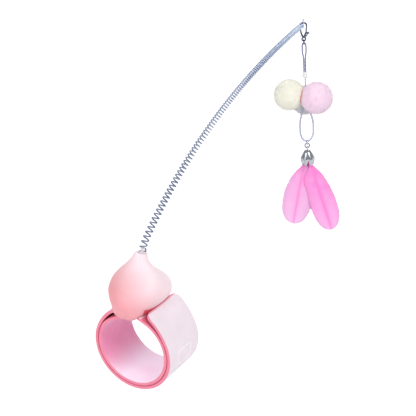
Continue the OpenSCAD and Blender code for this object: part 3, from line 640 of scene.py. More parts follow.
def makeBand(d):
    points, zones = [], []
    stations = bandStations(d)
    for a in stations:
        r = bandRadius(a)
        # near its ends the band narrows to its corners and thins out
        s = radians(min((a - d["from"]) * bandRadius(d["from"]), (d["to"] - a) * bandRadius(d["to"])))
        w, t = d["width"] / 2, d["thick"] / 2
        if s < d["cornerRound"]:
            w += sqrt(max(0, d["cornerRound"] ** 2 - (d["cornerRound"] - s) ** 2)) - d["cornerRound"]
        if s < d["endRound"]:
            t *= sqrt(max(0.003, 1 - (1 - s / d["endRound"]) ** 2))
        rc = min(d["edgeRound"], t * 0.9, w * 0.5)
        endRim = 1 - fade(s, *d["endRimSpan"])
        lean = degrees(atan((bandRadius(a + 0.5) - bandRadius(a - 0.5)) / radians(r)))
        # painted shade across the inside, deeper on the left
        paintedInsideShade = fade(r * sin(radians(a)), *d["insideShadeSpan"])
        for y, u, rim, face in bandSection(d, w, t, rc):
            points.append((atClock(a, r, y) + atClock(a - lean, u)) * mm)
            seamShade = 0
            # where faces lie on one another they take the edge colour, with painted shade: deeper on the
            # flat parts, and a painted shade line along the rounded edges
            if (face < 0 and a < d["innerFree"]) or (face > 0 and a > d["outerCovered"]):
                if not rim:
                    seamShade = d["coveredShade"]     # painted shade: faces that lie on one another are deeper
                elif face < 0 or a > d["outerSeamShade"]:
                    seamShade = fade(abs(u), t - rc, t - rc * 0.2)
                rim = 1
            zones.append((max(rim, endRim), 1 if face < 0 else 0, seamShade, paintedInsideShade))
    faces = tubeFaces(len(stations), len(points) // len(stations))
    piece = makePiece("bandSkin", points, faces, bandSilicone)
    storeColours(piece, "bandZonesAndShade", zones)
    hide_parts("band_sleeve")
    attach(piece, "band")


makeBand(band)

badge = {
    "clock": 100, "length": 15, "height": 11, "line": 1.0, "rise": 0.4, "corner": 2.0,
    "seat": 26.86,            # radius of the face that it stands on
    "section": [(-0.5, -0.6), (-0.5, 0.0), (-0.42, 0.55), (-0.22, 0.92), (0, 1.0), (0.22, 0.92),
                (0.42, 0.55), (0.5, 0.0), (0.5, -0.6)],
    "arcSteps": 8, "sideSteps": 6,
}


def makeRaisedFrame(d):
    # a soft-edged line round a rounded rectangle, wrapped on the band
    rc = d["corner"]
    x, y = (d["length"] - d["line"]) / 2 - rc, (d["height"] - d["line"]) / 2 - rc
    corners = ((x, y), (-x, y), (-x, -y), (x, -y))
    line = []
    for turn in range(4):
        for i in range(d["arcSteps"] + 1):
            q = radians(90 * (turn + i / d["arcSteps"]))
            out = (cos(q), sin(q))
            line.append((corners[turn][0] + rc * out[0], corners[turn][1] + rc * out[1], *out))
        x0, y0 = line[-1][:2]
        x1, y1 = (corners[(turn + 1) % 4][i] + rc * out[i] for i in (0, 1))
        for i in range(1, d["sideSteps"]):
            share = i / d["sideSteps"]
            line.append((x0 + (x1 - x0) * share, y0 + (y1 - y0) * share, *out))
    points = []
    for x, y, outX, outY in line:
        for across, up in d["section"]:
            around = (y + outY * across * d["line"]) / d["seat"]
            points.append(atClock(d["clock"] + degrees(around), d["seat"] + up * d["rise"],
                                  x + outX * across * d["line"]) * mm)
    faces = tubeFaces(len(line), len(d["section"]), closed=True)
    piece = makePiece("raisedFrame", points, faces, frameSilicone)
    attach(piece, "band")


makeRaisedFrame(badge)
print("band made")


# Heart

heart = {
    "width": 42.4, "depth": 37.8, "low": 20.8, "high": 36.1, "tipRadius": 3.8,
    "tipTilt": 15, "tipOut": 2.5, "turn": 70, "leanPower": 6, "tipPower": 10,
    "left": 1.6, "tipLeft": 0.7, "leftPower": 3,
    "levels": [(0, 0.38, 0.83), (0.03, 0.47, 0.88), (0.06, 0.54, 0.92), (0.1, 0.63, 0.95),
               (0.14, 0.71, 0.96), (0.19, 0.81, 0.99), (0.25, 0.92, 1), (0.31, 0.97, 0.98),
               (0.38, 1, 0.94), (0.44, 0.99, 0.89), (0.5, 0.95, 0.8), (0.56, 0.89, 0.7),
               (0.62, 0.8, 0.57), (0.68, 0.69, 0.46), (0.74, 0.57, 0.35), (0.8, 0.45, 0.27),
               (0.86, 0.35, 0.216), (0.93, 0.263, 0.19), (1, 0.201, 0.18)],
    "footSquare": 2.0, "squareTo": 0.24,   # the section's power over 2 at the foot, and where it ends
    "slotGap": 0.3, "slotReach": 44, "floor": 1.5, "floorTo": 368,
    "boreRadius": 2.56, "boreDepth": 9.1, "boreSides": 48,
    "sides": 96, "rings": 76, "voxel": 0.45, "smoothing": 6,
    "paintedLightMix": (0.62, -0.12, 0.6), "paintedLightHeight": 36,   # painted light and shade: its direction across the view, along the axis, upwards
    "paintedLightSpan": (-11, 15),    # painted light and shade, from the deeper lower left to the pale upper right
    "slotShadeRim": 0.35, "slotShadeFade": 0.4, "slotShadeSide": 0.3,   # how the slot's painted shade ends
}


def rounded(c, power):
    return copysign(abs(c) ** (2 / power), c)


def turnDirection(turn):
    return Vector((cos(radians(turn)), sin(radians(turn)), 0))


def heartLevel(d, h):
    half = []
    for k, full in ((1, d["depth"] / 2), (2, d["width"] / 2)):
        share = smoothAt([(row[0], row[k]) for row in d["levels"]], h)
        half.append(full * share + (d["tipRadius"] - full * d["levels"][-1][k]) * h ** d["tipPower"])
    late = h ** d["leanPower"]
    tilt = radians(d["tipTilt"]) * late
    leanDir = turnDirection(d["turn"])
    left = d["left"] + (d["tipLeft"] - d["left"]) * h ** d["leftPower"]
    mid = leanDir * d["tipOut"] * late + Vector((-left, 0, d["low"] + d["high"] * h))
    power = 2 + d["footSquare"] * (1 - fade(h, 0, d["squareTo"]))
    ring = []
    for q in turns(d["sides"]):
        p = Vector((half[0] * rounded(cos(q), power), half[1] * rounded(sin(q), power), 0))
        along = p.dot(leanDir)
        ring.append((mid + p + leanDir * along * (cos(tilt) - 1) - Vector((0, 0, along * sin(tilt)))) * mm)
    return ring


def wedgePiece(name, outline, width):
    count = len(outline)
    points = [(p + Vector((0, y, 0))) * mm for y in (-width / 2, width / 2) for p in outline]
    return makePiece(name, points, tubeFaces(2, count), heartSilicone)


def stripOutline(fromA, toA, thick, steps=44):
    angles = [fromA + (toA - fromA) * i / steps for i in range(steps + 1)]
    return ([atClock(a, bandRadius(a) + thick / 2) for a in angles]
            + [atClock(a, bandRadius(a) - thick / 2) for a in reversed(angles)])


def belowOutline(d):
    outline = [Vector()]
    for a in range(360 - d["slotReach"], 361 + d["slotReach"], 2):
        floor = d["slotGap"] + d["floor"] if a <= d["floorTo"] else 0
        outline.append(atClock(a, bandRadius(a) - band["thick"] / 2 - floor))
    return outline


def makeHeart(d):
    points = []
    for i in range(d["rings"] + 1):
        points += heartLevel(d, i / d["rings"])
    piece = makePiece("heartSkin", points, tubeFaces(d["rings"] + 1, d["sides"]), heartSilicone)
    gap, reach, thick, start = d["slotGap"], d["slotReach"], band["thick"], band["from"]
    channel = band["width"] + 2 * gap
    tilt = radians(d["tipTilt"])
    leanDir = turnDirection(d["turn"])
    axis = leanDir * sin(tilt) + Vector((0, 0, cos(tilt)))
    tip = leanDir * d["tipOut"] + Vector((0, 0, d["low"] + d["high"]))
    line = [(tip - axis * d["boreDepth"]) * mm, (tip + axis * 2) * mm]
    side, cross = carriedFrames(line)[0]
    bore = [v for p in line for v in roundPoints(p, side, cross, d["boreRadius"] * mm, d["boreSides"])]
    cutters = [
        wedgePiece("cutSlot", stripOutline(360 - reach, 360 + reach, thick + 2 * gap), channel),
        wedgePiece("cutBelow", belowOutline(d), channel + 0.02),
        wedgePiece("cutOuterEnd", stripOutline(start, start + reach, thick + 4 * gap), channel - 0.02),
        makePiece("cutBore", bore, tubeFaces(2, d["boreSides"]), heartSilicone),
    ]
    for cutter in cutters:
        addModifier(piece, cutter.name, "BOOLEAN", operation="DIFFERENCE", solver="EXACT", object=cutter)
    applyModifiers(piece)
    for cutter in cutters:
        bpy.data.objects.remove(cutter)
    addModifier(piece, "evenMesh", "REMESH", mode="VOXEL", voxel_size=d["voxel"] * mm)
    addModifier(piece, "softEdges", "SMOOTH", factor=0.5, iterations=d["smoothing"])
    applyModifiers(piece)
    smoothFaces(piece)
    piece.data.materials.clear()
    piece.data.materials.append(heartSilicone)
    # painted light and shade along a fixed direction across the view
    across = turnDirection(shot["turn"]) * d["paintedLightMix"][0] + Vector((0, d["paintedLightMix"][1], d["paintedLightMix"][2]))
    # painted shade: a deep red on the faces close to the band inside the slot
    room = thick / 2 + 3 * gap
    paintedLightValues, slotShades = [], []
    for v in piece.data.vertices:
        p = v.co / mm
        clock, r = degrees(atan2(p.x, p.z)), hypot(p.x, p.z)
        near = abs(r - bandRadius(clock + 360))
        if clock >= start - 4:
            near = min(near, abs(r - bandRadius(max(clock, start))))
        inside = fade(channel / 2 + d["slotShadeSide"] - abs(p.y), 0, d["slotShadeSide"])
        slotShades.append(fade(room + d["slotShadeRim"] - near, 0, d["slotShadeFade"]) * inside)
        paintedLightValues.append(fade((p - Vector((0, 0, d["paintedLightHeight"]))).dot(across), *d["paintedLightSpan"]))
    storeValues(piece, "paintedLightShade", paintedLightValues)
    storeValues(piece, "slotPaintedShade", slotShades)
    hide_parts("heart_holder")
    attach(piece, "band")
    print("heart faces", len(piece.data.polygons))


makeHeart(heart)
print("heart made")


# Wand spring

wand = {
    "turn": 70, "length": 172, "coils": 102, "wire": 0.7, "wireShown": 0.9, "baseWide": 4.8, "tipWide": 3.4,
    "startLean": 15, "quickLean": 21, "lateLean": 32, "quickLength": 3,
    "startUp": 2.15, "tipPitchShare": 0.25,
    "endRise": 0.6, "endTurnShare": 0.71, "endRiseShare": 0.29, "endOver": 50,   # the wire's ends
    "lineSteps": 346, "ringsPerCoil": 20, "sides": 8,
    "bendFrom": 2, "bendTo": 58,      # where along the wand it bends at its hinge
}


def wandLean(l):
    return radians(wand["startLean"] + wand["quickLean"] * (1 - exp(-l / wand["quickLength"]))
                        + wand["lateLean"] * l / wand["length"])


def wandLine(d):
    step = d["length"] / d["lineSteps"]
    lean = radians(d["startLean"])
    s = heart["tipOut"] + d["startUp"] * sin(lean)
    z = heart["low"] + heart["high"] + d["startUp"] * cos(lean)
    line = [(s, z)]
    for i in range(d["lineSteps"]):
        a = wandLean((i + 0.5) * step)
        s, z = s + step * sin(a), z + step * cos(a)
        line.append((s, z))
    return line


wandPoints = wandLine(wand)


def wandAt(l):
    steps = wand["lineSteps"]
    u = min(max(l / (wand["length"] / steps), 0), steps - 0.001)
    i = int(u)
    p, q = wandPoints[i], wandPoints[i + 1]
    return p[0] + (q[0] - p[0]) * (u - i), p[1] + (q[1] - p[1]) * (u - i)


def inWand(s, y, z):
    turn = radians(wand["turn"])
    return Vector((s * cos(turn) - y * sin(turn), s * sin(turn) + y * cos(turn), z)) * mm


def makeWandSpring(d):
    wireR = d["wire"] / 2
    baseR, tipR = d["baseWide"] / 2 - wireR, d["tipWide"] / 2 - wireR
    fall = -log(d["tipPitchShare"])
    deep = Vector((0, 1, 0))
    points, shares = [], []

    def helixR(l):
        return baseR + (tipR - baseR) * l / d["length"]

    def ring(l, turnA, rise, over):
        s, z = wandAt(l)
        lean = wandLean(min(max(l, 0), d["length"]))
        axis = Vector((sin(lean), 0, cos(lean)))
        side = Vector((cos(lean), 0, -sin(lean)))
        out = side * cos(turnA) + deep * sin(turnA)
        forward = deep * cos(turnA) - side * sin(turnA)
        cross = axis * cos(over) - forward * sin(over)
        p = Vector((s, 0, z)) + out * helixR(l) + axis * rise
        points.extend(inWand(*v) for v in roundPoints(p, out, cross, d["wireShown"] / 2, d["sides"]))
        shares.extend([min(max(l / d["length"], 0), 1)] * d["sides"])

    rise, over = d["endRise"], radians(d["endOver"])
    early, low = d["endTurnShare"], rise * d["endRiseShare"]
    bendA, tipBendA = rise / baseR, rise / tipR
    endLen = rise + d["wire"]
    ring(0, -bendA, -endLen, pi / 2)
    ring(0, -bendA, -rise, pi / 2)
    ring(0, -bendA * early, -low, over)
    for i in range(d["coils"] * d["ringsPerCoil"] + 1):
        share = i / d["ringsPerCoil"] / d["coils"]
        l = d["length"] * (1 - exp(-share * fall)) / (1 - d["tipPitchShare"])
        ring(l, tau * i / d["ringsPerCoil"], 0,
             atan(d["length"] / d["coils"] / (tau * helixR(l))))
    last = tau * d["coils"]
    ring(d["length"], last + tipBendA * early, low, over)
    ring(d["length"], last + tipBendA, rise, pi / 2)
    ring(d["length"], last + tipBendA, endLen, pi / 2)
    piece = makePiece("wandCoil", points, tubeFaces(len(points) // d["sides"], d["sides"]), springSteel)
    storeValues(piece, "wireShare", shares)
    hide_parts("wand_spring")
    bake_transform(piece)


makeWandSpring(wand)
print("wand spring made")


# Lure

lure = {
    "top": (46.883, 131.893, 164.658), "turn": 32,
    "linkLow": -12.825, "knot": -45.525,
    "capTop": -83.625, "rootTop": -85.745, "rootLength": 3.4,
}
lureAcross = turnDirection(lure["turn"])
lureDeep = turnDirection(lure["turn"] + 90)
upward = Vector((0, 0, 1))


def inLure(x, y, z):
    turn = radians(lure["turn"])
    cx, cy, cz = lure["top"]
    return Vector((cx + x * cos(turn) - y * sin(turn),
                   cy + x * sin(turn) + y * cos(turn), cz + z)) * mm


upperCord = {
    "route": [(-0.5, -17.8), (-0.5, -16), (-0.5, -14), (-0.5, -12), (-0.5, -10), (-0.7, -8), (-1, -6),
              (-1.2, -4), (-1.2, -2), (-1.1, -0.6), (-0.9, 0.2), (-0.5, 0.7), (0, 0.85), (0.5, 0.7),
              (0.9, 0.2), (1.1, -0.6), (1.2, -2), (1.2, -4), (1, -6), (0.7, -8), (0.5, -10),
              (0.5, -12), (0.5, -14), (0.5, -16), (0.5, -17.8)],
    "thick": 0.95, "plies": 3, "layLength": 2.2, "depth": 0.1, "step": 0.16, "sides": 14,
}
lowerCord = {
    "route": [(-0.6, -1.1), (-0.6, -3), (-0.7, -5), (-0.9, -7), (-1.3, -9), (-2.3, -12), (-3.3, -15),
              (-4, -18), (-4.3, -21), (-4.3, -24), (-4.1, -27), (-3.3, -29.6), (-1.8, -31.5),
              (-0.8, -32.15), (0, -32.3), (0.8, -32.15), (1.8, -31.5), (3.3, -29.6), (4.1, -27),
              (4.3, -24), (4.3, -21), (4, -18), (3.3, -15), (2.3, -12), (1.3, -9), (0.9, -7),
              (0.7, -5), (0.6, -3), (0.6, -1.1)],
    "thick": 1.3, "plies": 3, "layLength": 2.6, "depth": 0.1, "step": 0.2, "sides": 14,
}
hangerThread = {
    "top": -34.5, "low": -44.4, "places": 6,
    "thick": 0.7, "plies": 2, "layLength": 1.4, "depth": 0.14, "step": 0.12, "sides": 12,
}
tieKnot = {
    "reach": 0.784, "turns": 9, "half": 0.8, "stepsPerTurn": 12, "wobble": 0.12,
    "ballSquare": 1.15, "leastSquare": 0.2,
    "thick": 0.42, "plies": 2, "layLength": 0.9, "depth": 0.12, "step": 0.12, "sides": 8,
}
tieStrand = {
    "reach": 4.6, "turns": 3, "stepsPerTurn": 24, "from": (-10.4, -1.6, 0.7), "to": (6.2, -8.1, -0.4),
    "pitch": 0.4, "thick": 0.6, "plies": 2, "layLength": 0.9, "depth": 0.12, "step": 0.12, "sides": 8,
}


def makeTwistedCord(name, d, line, material):
    fine = smoothLine(line, d["step"] * mm)
    points, grooveShades = [], []
    run = 0
    for i, (side, cross) in enumerate(carriedFrames(fine)):
        if i:
            run += (fine[i] - fine[i - 1]).length / mm
        for q in turns(d["sides"]):
            wave = cos(d["plies"] * q - tau * run / d["layLength"])
            r = d["thick"] / 2 * (1 - d["depth"] + d["depth"] * wave)
            points.append(fine[i] + (side * cos(q) + cross * sin(q)) * r * mm)
            # painted shade in the grooves between the plies
            grooveShades.append(fade(-wave, 0.2, 1.0) * 0.8)
    piece = makePiece(name, points, tubeFaces(len(fine), d["sides"]), material)
    storeValues(piece, "plyGrooveShade", grooveShades)
    return piece


def routeLine(d, z):
    return [inLure(x, 0, z + drop) for x, drop in d["route"]]


def threadLine(d):
    fall = d["low"] - d["top"]
    return [inLure(0, 0, d["top"] + fall * i / d["places"]) for i in range(d["places"] + 1)]


def knotLine(d):
    # thread wound round and round into a small ball
    line = []
    count = d["turns"] * d["stepsPerTurn"]
    for i in range(count + 1):
        q = tau * i / d["stepsPerTurn"]
        h = sin(pi * (i / count - 0.5)) * d["half"]
        r = sqrt(max(d["leastSquare"], d["ballSquare"] - h * h)) * d["reach"]
        line.append(inLure(r * cos(q), r * sin(q), lure["knot"] + h + d["wobble"] * sin(q / 2)))
    return line


def strandLine(d):
    # thread wound round where the two front pompoms meet
    first, second = (inLure(x, y, lure["knot"] + z) for x, y, z in (d["from"], d["to"]))
    across = (second - first).normalized()
    up = (upward - across * across.z).normalized()
    deep = across.cross(up)
    line = []
    count = d["turns"] * d["stepsPerTurn"]
    for i in range(count + 1):
        q = tau * i / d["stepsPerTurn"]
        shift = (i / count - 0.5) * d["pitch"] * d["turns"]
        out = up * cos(q) + deep * sin(q)
        line.append((first + second) / 2 + (across * shift + out * d["reach"]) * mm)
    return line


upperLine, lowerLine = routeLine(upperCord, lure["linkLow"]), routeLine(lowerCord, lure["knot"])
for name, d, line, material, node, slot in (
    ("upperCordLoop", upperCord, upperLine, upperCloth, "upper_cord", "upper_cord"),
    ("lowerCordLoop", lowerCord, lowerLine, lowerCloth, "lower_cord", "lower_cord"),
    ("hangerThread", hangerThread, threadLine(hangerThread), threadCloth, "hanger_thread", "upper_cord"),
    ("tieKnotWinding", tieKnot, knotLine(tieKnot), tieCloth, "tie_knot", "tie_thread"),
):
    piece = makeTwistedCord(name, d, line, material)
    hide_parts(node)
    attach(piece, "hanger")
print("cords made")

clasp = {
    # right offset, height, half thickness in the loop's plane and square to it
    "path": [(1.77, -1.94, 0.42, 0.4), (2.0, -1.1, 0.5, 0.5), (1.75, -0.05, 0.56, 0.56),
             (1.0, 0.73, 0.6, 0.6), (0, 1.0, 0.6, 0.6), (-1.0, 0.73, 0.6, 0.6), (-1.75, -0.05, 0.58, 0.58),
             (-2.0, -1.2, 0.55, 0.56), (-1.98, -2.6, 0.52, 0.6), (-1.8, -4.2, 0.52, 0.7),
             (-1.45, -5.8, 0.56, 0.8), (-0.95, -7.2, 0.62, 0.85), (-0.3, -8.15, 0.66, 0.8),
             (0.35, -8.1, 0.66, 0.75), (0.8, -7.5, 0.5, 0.6)],
    "cheek": [(0.55, -8.3), (0.05, -7.9), (0.3, -7.0), (0.65, -6.2), (0.8, -5.6), (1.2, -5.25), (1.7, -5.2),
              (2.2, -5.5), (2.5, -6.1), (2.35, -6.8), (1.8, -7.5), (1.2, -8.1)],
    "cheekRows": [(0.57, 1.0), (0.94, 1.0), (1.052, 0.93), (1.1, 0.8)],   # depth, share of the outline
    "cheekStep": 0.25,
    "tail": -9.525, "tailRadius": 1.15, "tailThick": 0.9,
    "step": 0.12, "sides": 18,
}


def ringPoints(centre, radius, thick, across, count=40, sides=14):
    # a round ring that stands in the plane of the given direction
    points = []
    for q in turns(count):
        out = across * cos(q) + upward * sin(q)
        points += roundPoints(centre + out * radius * mm, out, across.cross(upward), thick / 2 * mm, sides)
    return points, tubeFaces(count, sides, closed=True)


def makeClasp(d):
    # the teardrop frame, swept with a changing section
    fine = smoothLine([Vector(row) for row in d["path"]], d["step"])
    points = []
    for i, row in enumerate(fine):
        ahead, behind = fine[min(i + 1, len(fine) - 1)], fine[max(i - 1, 0)]
        along = Vector((ahead[0] - behind[0], ahead[1] - behind[1])).normalized()
        for q in turns(d["sides"]):
            off = cos(q) * row[2]
            points.append(inLure(row[0] - along.y * off, sin(q) * row[3], row[1] + along.x * off))
    parts = [makePiece("claspFrame", points, tubeFaces(len(fine), d["sides"]), claspSteel)]
    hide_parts("clasp_body")
    # two cheeks that hold the gate's pin between them
    outline = smoothLine([Vector(p).to_3d() for p in d["cheek"] + d["cheek"][:1]], d["cheekStep"])[:-1]
    mid = sum(outline, Vector()) / len(outline)
    for name, side in (("claspCheekFront", -1), ("claspCheekBack", 1)):
        points = []
        for y, share in d["cheekRows"]:
            spots = [mid + (p - mid) * share for p in outline]
            points += [inLure(v.x, side * y, v.y) for v in spots]
        parts.append(makePiece(name, points, tubeFaces(len(d["cheekRows"]), len(outline)), claspSteel))
    tail = ringPoints(inLure(0, 0, d["tail"]), d["tailRadius"], d["tailThick"], lureAcross)
    parts.append(makePiece("claspTail", *tail, claspSteel))
    for part in parts:
        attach(part, "clasp")


makeClasp(clasp)
print("clasp made")

pompoms = {
    "fibres": 4200, "fibreWide": 0.17, "coreShare": 0.93, "rootShare": 0.86,
    "lump": 0.35, "lumpSize": 3.0, "fineLump": 0.22, "fineSize": 11,
    "curl": 0.16, "leastCurl": 0.3, "spread": 0.05, "stray": 0.035,
    "fibreRows": ((0, 1), (0.55, 0.75)),     # share of the height, share of the width
    # painted shade on the core, in its hollows and towards the fibres' roots
    "coreShade": 0.35, "hollowShade": 0.5, "shadeFall": 1.6, "shadeShare": 0.7,
    "list": [
        # name, node, slot, place in the lure's frame, radius, material, seed
        ("pompomCream", "pompom_cream", "cream_fluff", (-10.4, -1.6, 0.7), 10.4, creamFluff, 11),
        ("pompomPink", "pompom_pink", "pink_fluff", (6.2, -8.1, -0.4), 10.6, pinkFluff, 23),
        ("pompomWhite", "pompom_white", "white_fluff", (0.5, 8.9, -7.2), 9.7, whiteFluff, 37),
    ],
}


def makePompom(d, name, node, slot, place, radius, material, seed):
    rng = random.Random(seed)
    centre = inLure(place[0], place[1], lure["knot"] + place[2])
    shift = Vector((seed * 3.1, seed * 1.7, seed * 0.9))
    work = bmesh.new()
    bmesh.ops.create_icosphere(work, subdivisions=5, radius=1)
    points, rootShades = [], []
    for v in work.verts:
        n = v.co.normalized()
        fine = noise.noise(n * d["fineSize"] + shift)
        bump = noise.noise(n * d["lumpSize"] + shift) * d["lump"] + fine * d["fineLump"]
        points.append(centre + n * (radius * d["coreShare"] + bump) * mm)
        rootShades.append(d["coreShade"] + d["hollowShade"] * max(0, -fine))
    faces = [tuple(v.index for v in f.verts) for f in work.faces]
    work.free()
    golden = pi * (3 - sqrt(5))
    foot = radius * d["rootShare"]
    for i in range(d["fibres"]):
        z = 1 - 2 * (i + 0.5) / d["fibres"]
        ring = sqrt(1 - z * z)
        n = Vector((ring * cos(golden * i), ring * sin(golden * i), z))
        n = (n + Vector([rng.uniform(-1, 1) for _ in range(3)]) * d["stray"]).normalized()
        side = n.orthogonal().normalized()
        cross = n.cross(side)
        spin = rng.uniform(0, tau)
        sway = side * cos(spin) + cross * sin(spin)
        lump = noise.noise(n * d["lumpSize"] + shift) * d["lump"]
        tall = radius * (1 + rng.uniform(-d["spread"], d["spread"])) + lump
        curl = rng.uniform(d["leastCurl"], 1) * d["curl"] * radius
        base = len(points)
        for share, wide in d["fibreRows"]:
            p = centre + (n * (foot + (tall - foot) * share) + sway * curl * share * share) * mm
            points += roundPoints(p, side, cross, d["fibreWide"] / 2 * wide * mm, 3)
            rootShades += [1 - share * d["shadeFall"]] * 3
        points.append(centre + (n * tall + sway * curl).normalized() * tall * mm)
        rootShades.append(0)
        faces.append((base + 2, base + 1, base))
        for k in range(3):
            m = (k + 1) % 3
            faces.append((base + k, base + m, base + 3 + m, base + 3 + k))
            faces.append((base + 3 + k, base + 3 + m, base + 6))
    piece = makePiece(name, points, faces, material, outward=False)
    storeValues(piece, "fibreRootShade", [min(max(v, 0), 1) * d["shadeShare"] for v in rootShades])
    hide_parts(node)
    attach(piece, "hanger")


for entry in pompoms["list"]:
    makePompom(pompoms, *entry)
strand = makeTwistedCord("tieStrand", tieStrand, strandLine(tieStrand), tieCloth)
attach(strand, "hanger")
print("pompoms made")


# Petal cap

cap = {
    "length": 10.6, "wide": 4.9, "wall": 0.45, "petals": 6, "notch": 0.56,
    "profile": [(0, 0.0), (0.02, 0.2), (0.07, 0.42), (0.2, 0.6), (0.38, 0.8), (0.55, 0.93),
                (0.75, 0.9), (1, 0.72)],
    "crease": 0.09,           # how far the skin dips between the petals
    "rib": 0.05,              # how far each petal's middle line stands out
    "creaseSpan": (0.12, 0.7),   # where along the cap both of these come in
    "ribWidth": 0.16, "petalPower": 1.9, "rowPower": 0.9, "insetShare": 0.2, "leastWide": 0.01,
    "rows": 26, "columns": 96,
    "eyeRadius": 1.1, "eyeThick": 0.7,
}


def makeCap(d):
    points = []
    for i in range(d["rows"] + 1):
        for q in turns(d["columns"]):
            u = ((q * d["petals"] / (tau)) % 1) * 2 - 1
            reach = d["notch"] + (1 - d["notch"]) * (1 - abs(u) ** d["petalPower"])
            h = reach * (i / d["rows"]) ** d["rowPower"]
            late = fade(h, *d["creaseSpan"])
            wide = smoothAt(d["profile"], h) * d["wide"]
            wide *= 1 - d["crease"] * u * u * late + d["rib"] * exp(-(u / d["ribWidth"]) ** 2) * late
            wide = max(wide - d["wall"] * d["insetShare"], d["leastWide"])
            angle = q + pi / d["petals"]
            points.append(inLure(wide * cos(angle), wide * sin(angle), lure["capTop"] - h * d["length"]))
    faces = tubeFaces(d["rows"] + 1, d["columns"], caps=False)
    faces.append(tuple(range(d["columns"])))
    piece = makePiece("petalCap", points, faces, capSilver)
    addModifier(piece, "shell", "SOLIDIFY", thickness=d["wall"] * mm, offset=-1)
    applyModifiers(piece)
    fixNormals(piece)
    smoothFaces(piece)
    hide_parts("petal_cap")
    eyeMid = inLure(0, 0, lure["capTop"] + d["eyeRadius"])
    eye = makePiece("petalCapEye", *ringPoints(eyeMid, d["eyeRadius"], d["eyeThick"], lureDeep), capSilver)
    for part in (piece, eye):
        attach(part, "cap")


makeCap(cap)
print("cap made")


# Feathers

feathers = {
    "bend": 120, "thin": 0.14, "barbs": 130, "columns": 11, "ridge": 0.05, "ragged": 0.035,
    "sweep": 0.2,             # how far a barb runs towards the tip
    "sweepPower": 0.85, "sweepEase": 3.2, "lastPlace": 0.9999,
    "curl": 0.35, "curlWidth": 8.5, "ridgeSpan": (0.02, 0.2),
    "fillAt": 0.24, "fillSpan": 0.13, "weld": 0.012,
    "outline": [(0, 0.06, 0.06), (0.06, 0.09, 0.09), (0.13, 0.17, 0.17), (0.24, 0.5, 0.46),
                (0.38, 0.79, 0.73), (0.52, 0.94, 0.9), (0.66, 1, 1), (0.8, 0.95, 0.97),
                (0.9, 0.78, 0.8), (0.96, 0.55, 0.57), (0.99, 0.3, 0.3), (1, 0.1, 0.1)],
    "streakWidth": 0.16, "streakDepth": 0.75, "barbDepth": 0.8, "rimFrom": 0.55,
    "shaftBase": 0.36, "shaftTip": 0.12, "shaftShare": 0.97, "shaftSteps": 40, "shaftSides": 10,
    "shaftFlat": 0.9, "shaftSink": 0.12, "rootGap": 0.25,
    "list": [
        # name, vane node, quill node, length, width, lean, across, deep, back lean, mirrored, material,
        # slot, seed, fuller upper half on the left and on the right
        ("featherLeft", "feather_left", "quill_left", 45, 19.2, 13, -1, 0.2, 6, False, outerFeather,
         "feather_pink", 3, 0, 0.9),
        ("featherRight", "feather_right", "quill_right", 50.5, 17.5, -15, 0.6, -0.4, 6, False, rightFeather,
         "feather_pink", 5, 0.5, 0.1),
        ("featherMiddle", "feather_middle", "quill_middle", 36, 12.5, -1, 0.1, 1.5, 6, False, middleFeather,
         "feather_deep", 7, 0.6, 0.6),
        ("featherRear", "feather_rear", "quill_rear", 41, 11, -4, 0, 3, 4, True, rearFeather,
         "feather_pale", 9, 0, 0),
    ],
}


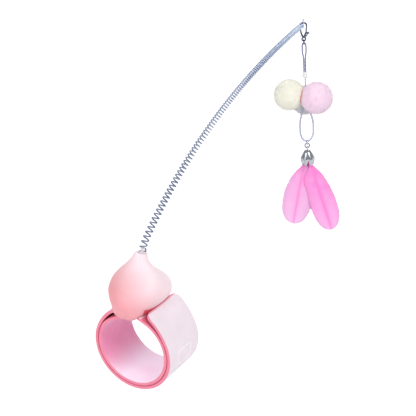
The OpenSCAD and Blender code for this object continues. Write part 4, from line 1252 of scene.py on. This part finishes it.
def makeFeatherPiece(d, name, vaneNode, quillNode, length, width, lean, across, deep, back, mirrored,
                     material, slot, seed, fillLeft, fillRight):
    rng = random.Random(seed)
    turnBack = Matrix.Rotation(radians(back), 3, "X")
    turnSide = Matrix.Rotation(radians(lean), 3, "Y")
    rootZ = lure["rootTop"] - lure["rootLength"] - d["rootGap"]

    def surface(x, l, lift):
        # a place on the vane, which bends backwards towards its tip
        y = lift - d["bend"] + sqrt(d["bend"] ** 2 - l * l)
        v = turnSide @ (turnBack @ Vector((x, -y if mirrored else y, -l)))
        return inLure(across + v.x, deep + v.y, rootZ + v.z)

    points, zones, faces = [], [], []
    n, m = d["barbs"], d["columns"]
    for side, column, fill in ((-1, 1, fillLeft), (1, 2, fillRight)):
        table = [(row[0], row[column]) for row in d["outline"]]
        first = len(points)
        for i in range(n + 1):
            start = i / n
            raggedness = 1 + rng.uniform(-1, 1) * d["ragged"]
            for k in range(m + 1):
                c = k / m
                # a barb leaves the shaft and sweeps towards the tip
                sweep = d["sweep"] * c ** d["sweepPower"] * min(1, d["sweepEase"] * start)
                along = min(start + sweep * (1 - start), 1)
                fuller = 1 + fill * exp(-((along - d["fillAt"]) / d["fillSpan"]) ** 2)
                wide = smoothAt(table, min(along, d["lastPlace"])) * width / 2 * fuller
                lift = (d["ridge"] * (1 if i % 2 else -1) * fade(c, *d["ridgeSpan"])
                        + d["curl"] * c * c * wide / d["curlWidth"])
                x = side * wide * c * (raggedness if k == m else 1)
                points.append(surface(x, along * length, lift))
                # place along the vane, the shaft's streak, every other barb, and the thin rim
                streak = exp(-(c / d["streakWidth"]) ** 2) * d["streakDepth"]
                zones.append((along, streak, d["barbDepth"] if i % 2 else 0, fade(c, d["rimFrom"], 1)))
        for i in range(n):
            for k in range(m):
                a = first + i * (m + 1) + k
                quad = (a, a + 1, a + m + 2, a + m + 1)
                faces.append(quad if side > 0 else quad[::-1])
    piece = makePiece(name, points, faces, material, outward=False)
    storeColours(piece, "vaneZones", zones)
    reworkMesh(piece, bmesh.ops.remove_doubles, "verts", dist=d["weld"] * mm)
    fixNormals(piece)
    addModifier(piece, "shell", "SOLIDIFY", thickness=d["thin"] * mm, offset=0)
    applyModifiers(piece)
    smoothFaces(piece)
    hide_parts(vaneNode)
    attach(piece, "cap")

    # the shaft tapers along the vane's middle line
    shaft = []
    for i in range(d["shaftSteps"] + 1):
        share = i / d["shaftSteps"]
        l = length * d["shaftShare"] * share
        r = d["shaftBase"] + (d["shaftTip"] - d["shaftBase"]) * share ** 0.8
        for q in turns(d["shaftSides"]):
            shaft.append(surface(r * cos(q), l, r * sin(q) * d["shaftFlat"] - d["shaftSink"]))
    rod = makePiece(name + "Shaft", shaft, tubeFaces(d["shaftSteps"] + 1, d["shaftSides"]), featherShaft)
    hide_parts(quillNode)
    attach(rod, "cap")


for entry in feathers["list"]:
    makeFeatherPiece(feathers, *entry)
print("feathers made")


# Materials of the CAD parts that stay

dressed = {
    "steel_strip": stripSteel, "tip_bush": bushPlastic, "wand_plug": plugSteel, "tip_eye": tipSteel,
    "clasp_gate": claspSteel, "gate_pin": ringSteel, "clasp_link": claspSteel,
    "cord_sleeve": beadPlastic, "knot_bead": beadPlastic, "loop_link": ringSteel,
    "cap_link": claspSteel, "root_plug": rootGlue,
}
for nodeName, material in dressed.items():
    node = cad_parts[nodeName]
    node.data.materials.clear()
    node.data.materials.append(material)
print("CAD parts dressed")
